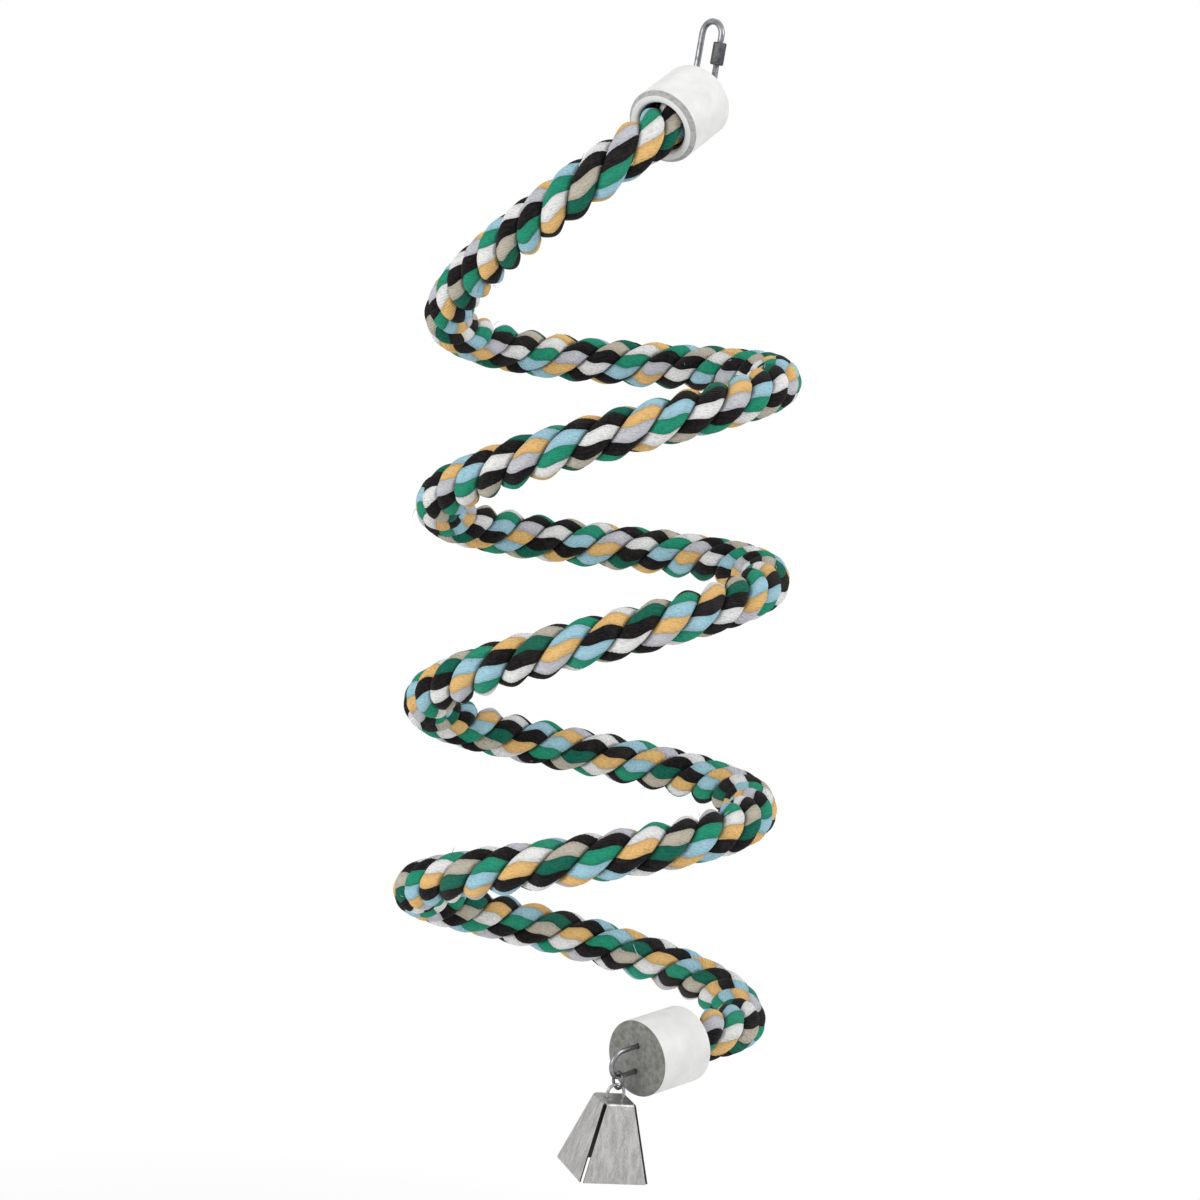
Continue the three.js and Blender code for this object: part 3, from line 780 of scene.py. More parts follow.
@dataclass(frozen=True)
class DyedYarn(Finish):
    """Soft-spun cotton yarns of several dyes, five to a strand, with lint, a fine twist and painted shade in
    the seams and grooves.

    The pattern follows the rope by its own map: across it a step of 1 is one yarn, and along it a step of 1
    is a millimetre. The yarn's width here is in millimetres too, as on the fuller rope outside its caps.
    """

    strands: tuple[tuple[Colour, ...], ...] = ()
    yarn_width: float = 8.4
    cotton: Colour = dyed(240, 238, 230)
    # Darkens fibre streaks at random, and gives the painted shade in the seams and grooves
    soil_and_shade: Colour = dyed(12, 10, 9)
    lift: float = 0.03
    sink: float = 0.55
    wear: float = 0.025
    seam_shade: float = 0.85
    lint: Grain = Grain(0.55, 4.0, 0.7)
    fading: Grain = Grain(26.0, 3.0, 0.6)
    fibres: Grain = Grain(1.0, 4.0, 0.7)
    fibre_scale: tuple[float, float, float] = (1.9, 0.16, 1.0)
    fibre_turn: float = 18.0
    ply_scale: float = 0.19
    ply_turn: float = 28.0
    fibre_depth: float = 0.5 * MM
    ply_depth: float = 0.35 * MM
    seam_depth: float = 0.4 * MM

    def make(self) -> bpy.types.Material:
        """The yarns as a material."""
        shader = Shader(self.name)
        chart = shader.add("ShaderNodeUVMap", uv_map="yarn").outputs[0]
        parts = shader.add("ShaderNodeSeparateXYZ", {0: chart})
        across, along = parts.outputs[0], parts.outputs[1]
        colour = self.dyes(shader, across)
        flat = shader.add("ShaderNodeCombineXYZ", {
            0: shader.math("MULTIPLY", across, self.yarn_width),
            1: along,
        }).outputs[0]
        streaks = self.streaks(shader, flat)
        lint = shader.noise(flat, self.lint)
        faded = shader.noise(shader.place(), self.fading)
        edge = shader.math("PINGPONG", across, 0.5)
        tone = shader.math("MULTIPLY_ADD", streaks, 0.55, shader.math("MULTIPLY", lint, 0.45))
        lifted = shader.mix(self.lift, colour, self.cotton)
        sunk = shader.mix(self.sink, colour, self.soil_and_shade)
        light = shader.mix(shader.span(tone, 0.0, 0.9, 0.47, 0.62), colour, lifted)
        dark = shader.mix(shader.span(tone, 0.75, 0.0, 0.34, 0.51), light, sunk)
        worn = shader.mix(shader.span(faded, 0.0, self.wear, 0.52, 0.75), dark, self.cotton)
        # Painted shade along each yarn's edges and in the grooves between strands
        painted_seam_shade = shader.math("MAXIMUM", shader.span(edge, 0.5, 0.0, 0.0, 0.08),
                           shader.span(edge, 0.22, 0.0, 0.0, 0.3))
        deep = shader.math("MAXIMUM", painted_seam_shade, shader.span(shader.mark("groove"), 0.0, 0.9, 0.8, 1.0))
        shader.base(
            Base_Color=shader.mix(deep, worn, shader.mix(self.seam_shade, colour, self.soil_and_shade)),
            Roughness=shader.span(lint, 0.82, 0.98, 0.3, 0.7),
            Normal=self.relief(shader, flat, streaks, edge),
        )
        shader.base(Sheen_Weight=0.03, Sheen_Roughness=0.5, Specular_IOR_Level=0.12)
        return shader.material

    def dyes(self, shader: Shader, across: Socket) -> Socket:
        """The dye of each yarn.

        Args:
            shader: The material being written.
            across: The yarn count across the rope.

        Returns:
            The colour output.
        """
        each = len(self.strands[0])
        yarn = shader.math("FLOORED_MODULO", shader.math("FLOOR", across), float(each))
        number = shader.math("MULTIPLY_ADD", shader.mark("strand"), float(each), yarn)
        total = each * len(self.strands)
        share = shader.math("DIVIDE", shader.math("ADD", number, 0.5), float(total))
        ramp = shader.add("ShaderNodeValToRGB", {0: share})
        ramp.color_ramp.interpolation = "CONSTANT"
        stops = ramp.color_ramp.elements
        dyes = [dye for strand_dyes in self.strands for dye in strand_dyes]
        while len(stops) < total:
            stops.new(0.5)
        for i, dye in enumerate(dyes):
            stops[i].position = i / total
            stops[i].color = dye
        return ramp.outputs[0]

    def streaks(self, shader: Shader, flat: Socket) -> Socket:
        """Streaks that lie along the spun fibres.

        Args:
            shader: The material being written.
            flat: Millimetres across and along.

        Returns:
            The value output.
        """
        along_fibres = shader.add("ShaderNodeMapping", {
            "Vector": flat, "Rotation": (0, 0, math.radians(self.fibre_turn)), "Scale": self.fibre_scale,
        }).outputs[0]
        return shader.noise(along_fibres, self.fibres)

    def relief(self, shader: Shader, flat: Socket, streaks: Socket, edge: Socket) -> Socket:
        """The bump of the twist and the fibres.

        Args:
            shader: The material being written.
            flat: Millimetres across and along.
            streaks: The fibre streaks.
            edge: How far a point is from its yarn's edge, in yarns.

        Returns:
            The normal output.
        """
        along_plies = shader.add("ShaderNodeMapping", {
            "Vector": flat, "Rotation": (0, 0, math.radians(self.ply_turn)),
        }).outputs[0]
        plies = shader.add("ShaderNodeTexWave", {
            "Vector": along_plies, "Scale": self.ply_scale,
            "Distortion": 1.6, "Detail": 2.0, "Detail Scale": 0.6,
        }, wave_type="BANDS", bands_direction="X", wave_profile="SIN").outputs[1]
        fine = shader.bump(streaks, self.fibre_depth, 0.75)
        coarse = shader.bump(plies, self.ply_depth, 0.7, fine)
        return shader.bump(shader.span(edge, 0.0, 1.0, 0.0, 0.2), self.seam_depth, 0.5, coarse)


@dataclass(frozen=True)
class LooseFibre(Finish):
    """Single stray fibres, each in its own dye."""

    worn: Colour = dyed(225, 222, 214)
    spots: Grain = Grain(1800.0)

    def make(self) -> bpy.types.Material:
        """The fibres as a material."""
        shader = Shader(self.name)
        tint = shader.add("ShaderNodeAttribute", attribute_name="tint").outputs["Color"]
        spots = shader.noise(shader.place(), self.spots)
        shader.base(
            Base_Color=shader.mix(shader.span(spots, 0.0, 0.4, 0.4, 0.7), tint, self.worn),
            Roughness=shader.span(spots, 0.8, 0.95),
        )
        return shader.material


@dataclass(frozen=True)
class StrandedCore(Finish):
    """The wire core, with the lay of its strands."""

    colour: Colour = dyed(150, 152, 154)
    shade: Colour = dyed(92, 93, 95)
    grime_and_shade: Grain = Grain(700.0, 3.0, 0.6)
    lay_scale: float = 0.1
    lay_depth: float = 0.15 * MM

    def make(self) -> bpy.types.Material:
        """The core as a material."""
        shader = Shader(self.name)
        chart = shader.add("ShaderNodeUVMap", uv_map="lay").outputs[0]
        lay = shader.add("ShaderNodeTexWave", {"Vector": chart, "Scale": self.lay_scale, "Distortion": 0.0},
                         wave_type="BANDS", bands_direction="DIAGONAL", wave_profile="SIN").outputs[1]
        grime_and_shade = shader.noise(shader.place(), self.grime_and_shade)
        shader.base(
            Base_Color=shader.patched(grime_and_shade, 0.4, 0.7, self.colour, self.shade),
            Metallic=1.0,
            Roughness=shader.span(grime_and_shade, 0.35, 0.6),
            Normal=shader.bump(lay, self.lay_depth, 0.8),
        )
        return shader.material


@dataclass(frozen=True)
class ClothTape(Finish):
    """Dark cloth tape with a plain weave."""

    colour: Colour = dyed(52, 50, 48)
    shade: Colour = dyed(30, 29, 28)
    weave: Grain = Grain(2600.0, 2.0, 0.6)
    weave_depth: float = 0.1 * MM

    def make(self) -> bpy.types.Material:
        """The tape as a material."""
        shader = Shader(self.name)
        weave = shader.noise(shader.place(), self.weave)
        shader.base(
            Base_Color=shader.mix(weave, self.shade, self.colour),
            Roughness=shader.span(weave, 0.7, 0.9),
            Normal=shader.bump(weave, self.weave_depth, 0.6),
        )
        return shader.material


@dataclass(frozen=True)
class CastBall(Finish):
    """Cast metal with a pitted skin."""

    colour: Colour = dyed(176, 178, 180)
    shade: Colour = dyed(112, 113, 115)
    pits: Grain = Grain(900.0, 4.0, 0.7)
    pit_depth: float = 0.12 * MM

    def make(self) -> bpy.types.Material:
        """The cast metal as a material."""
        shader = Shader(self.name)
        pits = shader.noise(shader.place(), self.pits)
        shader.base(
            Base_Color=shader.patched(pits, 0.35, 0.65, self.shade, self.colour),
            Metallic=1.0,
            Roughness=shader.span(pits, 0.55, 0.3, 0.35, 0.65),
            Normal=shader.bump(pits, self.pit_depth, 0.6),
        )
        return shader.material


TEAL = dyed(34, 150, 118)
DEEP_TEAL = dyed(10, 104, 84)
COAL = dyed(16, 12, 14)
TAN = dyed(242, 196, 126)
SAND = dyed(198, 190, 174)
SKY = dyed(168, 212, 228)
STONE = dyed(206, 206, 214)
CHALK = dyed(244, 244, 243)

WIRE = DrawnWire("drawn_wire", "steel")
LINK_WIRE = DrawnWire("link_wire", "steel", colour=dyed(150, 151, 153), shade=dyed(108, 109, 111))
DULL_WIRE = DrawnWire("dull_wire", "steel", colour=dyed(112, 112, 113), shade=dyed(78, 78, 79))
PLATE = PlatedSteel("plated_steel", "zinc")
SHEET = BrushedSheet("brushed_sheet", "nickel")
PLASTIC = MouldedPlastic("moulded_plastic", "cap")
YARN = DyedYarn("dyed_yarn", "rope", strands=(
    (TEAL, COAL, STONE, TAN, SKY),
    (COAL, DEEP_TEAL, SAND, COAL, CHALK),
    (TEAL, SKY, COAL, TAN, CHALK),
))
FIBRE = LooseFibre("loose_fibre", "rope")
CORE = StrandedCore("stranded_core", "core")
TAPE = ClothTape("cloth_tape", "tape")
BALL = CastBall("cast_ball", "ball")


def dress(obj: bpy.types.Object, finish: Finish) -> bpy.types.Object:
    """Gives a piece its finish.

    Args:
        obj: The piece.
        finish: Its finish.

    Returns:
        The same piece.
    """
    obj.data.materials.clear()
    obj.data.materials.append(finish.material())
    return obj


def hand_over(obj: bpy.types.Object, place: Matrix, finish: Finish, body: Body, *nodes: str) -> None:
    """Puts a piece in its place, dresses it, and has it ride on its body in its solids' stead.

    Args:
        obj: The piece in its own frame.
        place: From its own frame to the object's.
        finish: Its finish.
        body: What it rides on.
        *nodes: The solids that it stands for.
    """
    obj.data.transform(place)
    dress(obj, finish)
    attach(obj, body.value)
    if nodes:
        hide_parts(*nodes)
    LOG.info("%s: %d faces", obj.name, len(obj.data.polygons))


# Sub-assemblies


@dataclass
class QuickLink:
    """The link that the perch hangs by: a bent wire with a gap, and a hexagonal nut that closes it."""

    wire_diameter: float = 3.4 * MM
    length: float = 39.4 * MM
    width: float = 17.6 * MM
    turn: float = -45.0
    gap_start: float = 11 * MM
    gap: float = 4.2 * MM
    nut_flats: float = 6.4 * MM
    nut_length: float = 12 * MM
    nut_grip: float = 2.5 * MM
    nut_chamfer: float = 0.6 * MM
    chamfer_slope: float = 1.4
    nut_corner: float = 0.18 * MM
    nut_ease: float = 0.07 * MM
    thread_pitch: float = 0.7 * MM
    thread_depth: float = 0.16 * MM
    thread_fade: float = 0.8 * MM
    thread_past_nut: float = 1.5 * MM
    leg_steps: int = 90
    stub_steps: int = 60

    @property
    def half(self) -> float:
        """Half the distance between the two legs."""
        return (self.width - self.wire_diameter) / 2

    @property
    def seat(self) -> float:
        """The height of the inside of the lower bend."""
        return -(self.length - 2 * self.wire_diameter)

    def body(self) -> bpy.types.Object:
        """The bent wire, threaded where the nut runs."""
        across = Vector((1, 0, 0))
        top = Vector((0, 0, self.wire_diameter / 2 - self.half))
        bottom = Vector((0, 0, self.seat - self.wire_diameter / 2 + self.half))
        low = -self.gap_start - self.gap
        leg = [Vector((self.half, 0, low + (bottom.z - low) * i / self.leg_steps))
               for i in range(self.leg_steps)]
        stub = [Vector((self.half, 0, top.z + (-self.gap_start - top.z) * i / self.stub_steps))
                for i in range(1, self.stub_steps + 1)]
        points = leg + arc(bottom, across, UP, self.half, 0, -180, step=5)
        points += arc(top, across, UP, self.half, 180, 0, step=5) + stub
        obj = wire("link_body", points, self.wire_diameter, sides=24)
        self.thread(obj)
        return obj

    def thread(self, obj: bpy.types.Object) -> None:
        """Cuts the thread into the leg with the gap.

        Args:
            obj: The bent wire in its own frame.
        """
        start = -self.gap_start + self.nut_grip + self.thread_past_nut
        end = -self.gap_start - self.gap - 0.75 * self.nut_length
        skin = 0.4 * self.wire_diameter
        for vertex in obj.data.vertices:
            x, y, z = vertex.co.x - self.half, vertex.co.y, vertex.co.z
            radius = math.hypot(x, y)
            if not (x >= -self.wire_diameter and end < z < start and radius >= skin):
                continue
            phase = 2 * math.pi * z / self.thread_pitch + math.atan2(y, x)
            fade = min(1.0, (start - z) / self.thread_fade, (z - end) / self.thread_fade)
            scale = 1 - fade * self.thread_depth * (0.5 + 0.5 * math.sin(phase)) / radius
            vertex.co.x, vertex.co.y = self.half + x * scale, y * scale

    def nut(self) -> bpy.types.Object:
        """The hexagonal sleeve, its corners turned down at both ends."""
        high = self.nut_grip - self.gap_start
        low = high - self.nut_length
        corner, chamfer = self.nut_flats / math.sqrt(3), self.nut_chamfer
        bm = bmesh.new()
        bmesh.ops.create_cone(bm, cap_ends=True, segments=6, radius1=corner, radius2=corner,
                              depth=self.nut_length, matrix=Matrix.Translation((0, 0, (low + high) / 2)))
        upright = [e for e in bm.edges if abs(e.verts[0].co.z - e.verts[1].co.z) > MM]
        bmesh.ops.bevel(bm, geom=upright, offset=self.nut_corner, offset_type="OFFSET", affect="EDGES",
                        segments=2, profile=0.5, material=-1)
        nut = finish_mesh(bm, "link_nut", crease=30)
        face = corner - chamfer * self.chamfer_slope
        blank = turned("blank", [
            (0, low - PAST), (face, low - PAST), (corner + PAST, low + chamfer),
            (corner + PAST, high - chamfer), (face, high + PAST), (0, high + PAST),
        ], steps=48)
        carve(nut, blank, Carve.KEEP_COMMON)
        carve(nut, bar("bore", self.wire_diameter + 2 * FIT, low - MM, high + MM), Carve.CUT)
        ease_edges(nut, self.nut_ease, angle=25)
        nut.data.transform(Matrix.Translation((self.half, 0, 0)))
        return nut

    def build(self) -> None:
        """Builds, dresses and places the link."""
        place = turned_to(Vector(), self.turn)
        hand_over(self.body(), place, LINK_WIRE, Body.HANGER, "quick_link_body")
        hand_over(self.nut(), place, PLATE, Body.LINK_NUT, "quick_link_nut")


@dataclass
class EndFitting:
    """A white cap that closes an end of the rope, with the wire eye through its end wall."""

    side: Side
    origin: Vector
    out: Vector
    eye_reach: float
    body: Body
    cap_diameter: float = 40.5 * MM
    cap_length: float = 37 * MM
    end_wall: float = 4 * MM
    rim_chamfer: float = 2.4 * MM
    mouth_chamfer: float = 1 * MM
    edge_radius: float = 1 * MM
    edge_steps: int = 6
    edge_ease: float = 0.35 * MM
    rim_drop: float = 0.1 * MM
    mouth_drop: float = 0.12 * MM
    eye_wire: float = 2.6 * MM
    eye_spacing: float = 14 * MM
    eye_setting: float = 5 * MM
    rope_diameter: float = 25 * MM
    rope_insert: float = 16 * MM
    core_diameter: float = 3.2 * MM
    ferrule_length: float = 11.5 * MM
    tape_wall: float = 0.8 * MM
    tape_length: float = 12 * MM
    tape_ease: float = 0.15 * MM

    @property
    def bore_radius(self) -> float:
        """The radius of the cap's bore."""
        return self.rope_diameter / 2 + FIT + self.tape_wall + FIT

    def cap(self) -> bpy.types.Object:
        """The cap: a turned shell with eased edges and two holes for the eye."""
        radius, edge, wall, low = self.cap_diameter / 2, self.edge_radius, -self.end_wall, -self.cap_length
        bore, mouth = self.bore_radius, self.bore_radius + self.mouth_chamfer
        foot, shoulder = radius - self.rim_chamfer, low + self.rim_chamfer
        ease, drop = self.edge_ease, self.rim_drop
        angles = [math.pi / 2 * i / self.edge_steps for i in range(self.edge_steps + 1)]
        profile = [
            (0, wall), (bore - ease, wall), (bore, wall - ease),
            (bore, low + self.mouth_chamfer + ease), (bore + self.mouth_drop, low + self.mouth_chamfer),
            (mouth, low + drop), (mouth + ease, low),
            (foot - ease, low), (foot + drop, low + drop),
            (radius - drop, shoulder - drop), (radius, shoulder + ease),
        ]
        profile += [(radius - edge + edge * math.cos(a), -edge + edge * math.sin(a)) for a in angles]
        shell = turned(f"{self.side.value}_cap", profile + [(0, 0)], crease=CREASE)
        bore_pair(shell, self.eye_wire, Vector((0, self.eye_spacing / 2, 0)), self.end_wall, 32)
        shade_smooth(shell)
        self.mark(shell)
        return shell

    def mark(self, shell: bpy.types.Object) -> None:
        """Marks the cap's rim and its end wall, where the finish paints shade.

        Args:
            shell: The cap in its own frame.
        """
        low, outer = -self.cap_length, self.cap_diameter / 2
        rims, walls = [], []
        for face in shell.data.polygons:
            reach = math.hypot(face.center.x, face.center.y)
            on_rim = reach > outer - self.rim_chamfer and face.center.z < low + self.rim_chamfer
            rims.append(float(on_rim and face.normal.z < -0.2))
            walls.append(float(face.center.z > -self.edge_radius and face.normal.z > 0.6))
        # The finish paints shade in specks on the rim faces and over the end wall faces
        mark_faces(shell, "rim", rims)
        mark_faces(shell, "end_wall", walls)

    def leg(self, sign: int) -> list[Vector]:
        """One leg of the eye, from the sleeve out to the end of its straight reach.

        Args:
            sign: 1 for the upper leg and -1 for the lower one.

        Returns:
            The points from the inside out.
        """
        out = Vector((0, 0, 1))
        beside_core = (self.core_diameter + self.eye_wire) / 2 + FIT
        sleeve_end = self.rope_insert + FIT + self.ferrule_length - self.cap_length
        inner = Vector((0, sign * beside_core, sleeve_end))
        deep = inner - out * (self.ferrule_length - FIT)
        wall = Vector((0, sign * self.eye_spacing / 2, -self.end_wall + FIT))
        return [deep] + bend(inner, out, wall, out, self.eye_setting / 2, count=16)

    def eye(self) -> bpy.types.Object:
        """The wire eye, a staple whose loop stands out of the cap."""
        out, upward = Vector((0, 0, 1)), Vector((0, 1, 0))
        loop = arc(out * self.eye_reach, out, upward, self.eye_spacing / 2, 90, -90, step=5)
        points = self.leg(1) + loop + self.leg(-1)[::-1]
        return wire(f"{self.side.value}_wire_eye", points, self.eye_wire)

    def tape(self) -> bpy.types.Object:
        """The tape that binds the rope's end, with the steps of its wraps."""
        inner = self.rope_diameter / 2 + FIT
        high = self.rope_insert - self.cap_length - FIT
        low = high - self.tape_length
        outer, ease, third = inner + self.tape_wall, self.tape_ease, self.tape_length / 3
        return turned(f"{self.side.value}_rope_tape", [
            (inner, low + ease), (inner + ease, low), (outer - ease, low), (outer, low + ease),
            (outer, low + third), (outer - ease, low + third + ease), (outer - ease, high - third),
            (outer, high - third + ease), (outer, high - ease), (outer - ease, high),
            (inner + ease, high), (inner, high - ease), (inner, low + ease),
        ], steps=72, crease=CREASE)

    def build(self) -> None:
        """Builds, dresses and places the cap and what is in it."""
        place, side = facing(self.origin, self.out), self.side.value
        hand_over(self.cap(), place, PLASTIC, self.body, f"{side}_end_cap")
        hand_over(self.eye(), place, LINK_WIRE, self.body, f"{side}_eye")
        hand_over(self.tape(), place, TAPE, self.body, f"{side}_end_tape")
        dress(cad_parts[f"{side}_ferrule"], PLATE)


@dataclass(frozen=True)
class StrayFibres:
    """How many fibres stand out of the rope, how long and thick they are, and how they lean and curl."""

    count: int = 90
    seed: int = 11
    diameter: float = 0.32 * MM
    shortest: float = 1.6 * MM
    longest: float = 3.2 * MM
    root: float = 1.4 * MM
    lean: float = 0.9
    curl: float = 0.8
    droop: float = 0.35
    taper: float = 0.6
    steps: int = 8
    station_gap: float = 6 * MM
    end_stations: int = 8
    one_long_in: int = 12
    long_stretch: float = 1.5
    long_thickness: float = 1.6


@dataclass
class WoundRope:
    """The rope on its wire core: a straight lead out of each cap, a smooth run, and the coil between."""

    upper_mouth: Vector
    upper_out: Vector
    lower_out: Vector
    diameter: float = 25 * MM
    insert: float = 16 * MM
    lead: float = 9 * MM
    core_diameter: float = 3.2 * MM
    core_clearance: float = 0.4 * MM
    core_past: float = 12.1 * MM
    mean_diameter: float = 178.9 * MM
    pitch: float = 107.8 * MM
    turns: float = 3.444
    start_angle: float = 200.0
    lean_right: float = 0.1188
    lean_near: float = 0.2646
    turn_rise_right: float = 0.3093
    turn_rise_loss: float = 0.0613
    turn_rise_near: float = 0.194
    wave_height: float = 5.16 * MM
    wave_turns: float = 1.7726
    wave_crest: float = 1.3735
    top_run: tuple[float, float, float] = (-92.5 * MM, 130.5 * MM, -134.2 * MM)
    bottom_run: tuple[float, float, float] = (-30.5 * MM, -61.3 * MM, -0.8 * MM)
    steps_per_turn: int = 30
    join_steps: int = 12
    lead_steps: int = 5
    lay: float = 57 * MM
    strands: int = 3
    strand_offset: float = 5 * MM
    strand_points: int = 22
    bore_points: int = 11
    yarn_width: float = 7.8 * MM
    yarn_relief: float = 1.15 * MM
    yarn_roundness: float = 0.84
    groove_relief: float = 0.9
    swell: float = 1.09
    swell_run: float = 14 * MM
    drift: float = 0.2
    drift_step: float = 26 * MM
    drift_phase: float = 2.1
    waver: float = 0.08
    waver_step: float = 5.5 * MM
    waver_phase: float = 1.3
    slack: float = 0.35 * MM
    slack_step: float = 11 * MM
    slack_phase: float = 2.0
    station_gap: float = 1.9 * MM
    core_station_gap: float = 4 * MM
    core_sides: int = 12
    blend_margin: float = 15 * MM
    stray: StrayFibres = StrayFibres()

    @property
    def ring_points(self) -> int:
        """How many points lie round the outside of the rope."""
        return self.strands * self.strand_points

    def helix(self, turns: float) -> Vector:
        """A point of the leaning helix, from its start, by turns gone round."""
        angle = math.radians(self.start_angle) + 2 * math.pi * turns
        right = self.mean_diameter / 2 * math.cos(angle)
        near = self.mean_diameter / 2 * math.sin(angle)
        swell = math.sin(math.pi * turns / self.turns)
        crest = math.cos(2 * math.pi * (turns - self.wave_crest) / self.wave_turns)
        fall = self.pitch * turns - self.wave_height * swell * crest
        rise = (self.turn_rise_right - self.turn_rise_loss * turns) * right + self.turn_rise_near * near
        return Vector((self.lean_right * fall + right, -self.lean_near * fall - near, rise - fall))

    def coil(self, turns: float) -> Vector:
        """A point of the coil, by turns gone round."""
        return self.helix(turns) - self.helix(0.0) + self.upper_mouth + Vector(self.top_run)

    @property
    def lower_mouth(self) -> Vector:
        """Where the rope enters the lower cap."""
        return self.coil(self.turns) + Vector(self.bottom_run)

    def straight(self, mouth: Vector, out: Vector, inside: float) -> list[Vector]:
        """The straight stretch at a cap, from deep inside it up to the lead's end, which is left out.

        Args:
            mouth: Where the rope enters the cap.
            out: The direction into the cap.
            inside: How far inside the cap it starts.

        Returns:
            The points in order.
        """
        steps = self.lead_steps
        return [mouth + out * (inside - (inside + self.lead) * i / steps) for i in range(steps)]

    def route(self, past: float = 0.0) -> list[Vector]:
        """The rope's route in steps, as its solid follows it.

        Args:
            past: How much further the line goes at each end than the rope does.

        Returns:
            The points from the upper end to the lower one.
        """
        count = round(self.steps_per_turn * self.turns)
        coil = [self.coil(self.turns * i / count) for i in range(count + 1)]
        upper_lead = self.upper_mouth - self.upper_out * self.lead
        lower_lead = self.lower_mouth - self.lower_out * self.lead
        entering = (coil[1] - coil[0]).normalized()
        leaving = (coil[-1] - coil[-2]).normalized()
        start = self.straight(self.upper_mouth, self.upper_out, self.insert + past)
        end = self.straight(self.lower_mouth, self.lower_out, self.insert + past)
        top_pull = (coil[0] - upper_lead).length / 3
        bottom_pull = (lower_lead - coil[-1]).length / 3
        top = bend(upper_lead, -self.upper_out, coil[0], entering, top_pull, 2 * self.join_steps)
        bottom = bend(coil[-1], leaving, lower_lead, self.lower_out, bottom_pull, self.join_steps)
        return start + top + coil[1:] + bottom[1:] + end[::-1]

    @staticmethod
    def smoothed(points: Sequence[Vector], gap: float) -> np.ndarray:
        """Even stations on a smooth line through points.

        Args:
            points: The points in order.
            gap: About how far apart the stations are.

        Returns:
            The stations, one row each.
        """
        p = np.array([tuple(v) for v in points])
        knots = gone_along(p)
        substeps = 12
        slopes = np.empty_like(p)
        slopes[0] = (p[1] - p[0]) / (knots[1] - knots[0])
        slopes[-1] = (p[-1] - p[-2]) / (knots[-1] - knots[-2])
        before, after = np.diff(knots)[:-1, None], np.diff(knots)[1:, None]
        steps = np.diff(p, axis=0)
        slopes[1:-1] = (steps[:-1] / before * after + steps[1:] / after * before) / (before + after)
        fine = []
        for i in range(len(p) - 1):
            width = knots[i + 1] - knots[i]
            t = np.linspace(0, 1, substeps, endpoint=False)[:, None]
            fine.append((2 * t**3 - 3 * t**2 + 1) * p[i] + (t**3 - 2 * t**2 + t) * width * slopes[i]
                        + (3 * t**2 - 2 * t**3) * p[i + 1] + (t**3 - t**2) * width * slopes[i + 1])
        line = np.concatenate([*fine, p[-1:]])
        along = gone_along(line)
        at = np.linspace(0, along[-1], round(along[-1] / gap) + 1)
        return np.stack([np.interp(at, along, line[:, k]) for k in range(3)], axis=1)

    @staticmethod
    def frames(stations: np.ndarray) -> tuple[np.ndarray, np.ndarray, np.ndarray]:
        """Directions across a line that turn as little as they can along it.

        Args:
            stations: The line's points, one row each.

        Returns:
            The length gone at each station and the two directions across.
        """
        forward = np.gradient(stations, axis=0)
        forward /= np.linalg.norm(forward, axis=1)[:, None]
        first = np.cross((0, 0, 1), forward[0])
        first /= np.linalg.norm(first)
        sideways = [first]
        for direction in forward[1:]:
            carried = sideways[-1] - direction * (sideways[-1] @ direction)
            sideways.append(carried / np.linalg.norm(carried))
        sideways = np.array(sideways)
        return gone_along(stations), sideways, np.cross(forward, sideways)

    def strand_profile(self) -> tuple[np.ndarray, np.ndarray, np.ndarray]:
        """The rounded back of one strand, from groove to groove.

        Returns:
            The polar angle, the radius and the width gone of each point.
        """
        offset, groove = self.strand_offset, math.pi / self.strands
        back = self.diameter / 2 - offset
        edge = groove + math.asin(offset * math.sin(groove) / back)
        around = np.linspace(-edge, edge, self.strand_points + 1)
        x, y = offset + back * np.cos(around), back * np.sin(around)
        return np.arctan2(y, x), np.hypot(x, y), back * around

    def rope(self) -> bpy.types.Object:
        """The laid strands as one closed tube with a bore, each yarn standing proud of its seams."""
        stations = self.smoothed(self.route(), self.station_gap)
        gone, sideways, upright = self.frames(stations)
        angle, radius, width = self.strand_profile()
        count, per_ring = self.strand_points, self.ring_points
        twist, full = 2 * math.pi / self.lay, self.fullness(gone)
        yarns = self.yarn_counts(gone, width)
        across = 2 * (yarns % 1.0) - 1
        relief = self.yarn_relief * (np.sqrt(1 - self.yarn_roundness * across**2) - 1)
        relief[:, :, 0] = relief[:, :, -1] = -self.groove_relief * self.yarn_relief
        places = np.empty((len(stations), per_ring + self.bore_points, 3))
        for strand in range(self.strands):
            turn = angle[None, :-1] + strand * 2 * math.pi / self.strands - twist * gone[:, None]
            slack = self.slack * (0.5 + 0.5 * np.sin(gone / self.slack_step + self.slack_phase * strand))
            reach = (radius[None, :-1] + relief[strand, :, :-1]) * full[:, None] - slack[:, None]
            places[:, strand * count:(strand + 1) * count] = self.ring(
                stations, sideways, upright, turn, reach)
        bore = np.arange(self.bore_points) * 2 * math.pi / self.bore_points + angle[0]
        turn = bore[None, :] - twist * gone[:, None]
        reach = np.full_like(turn, self.core_diameter / 2 + self.core_clearance)
        places[:, per_ring:] = self.ring(stations, sideways, upright, turn, reach)
        obj = self.closed_tube("cotton_rope", places, per_ring)
        self.chart(obj, yarns, gone)
        return obj

    def fullness(self, gone: np.ndarray) -> np.ndarray:
        """How much fuller the free rope is than its bound ends inside the caps.

        Args:
            gone: The length gone at each station.

        Returns:
            The share of the bound rope's size at each station.
        """
        free = np.minimum(gone, gone[-1] - gone) - self.insert
        share = np.clip(free / self.swell_run, 0, 1)
        return 1 + (self.swell - 1) * share**2 * (3 - 2 * share)

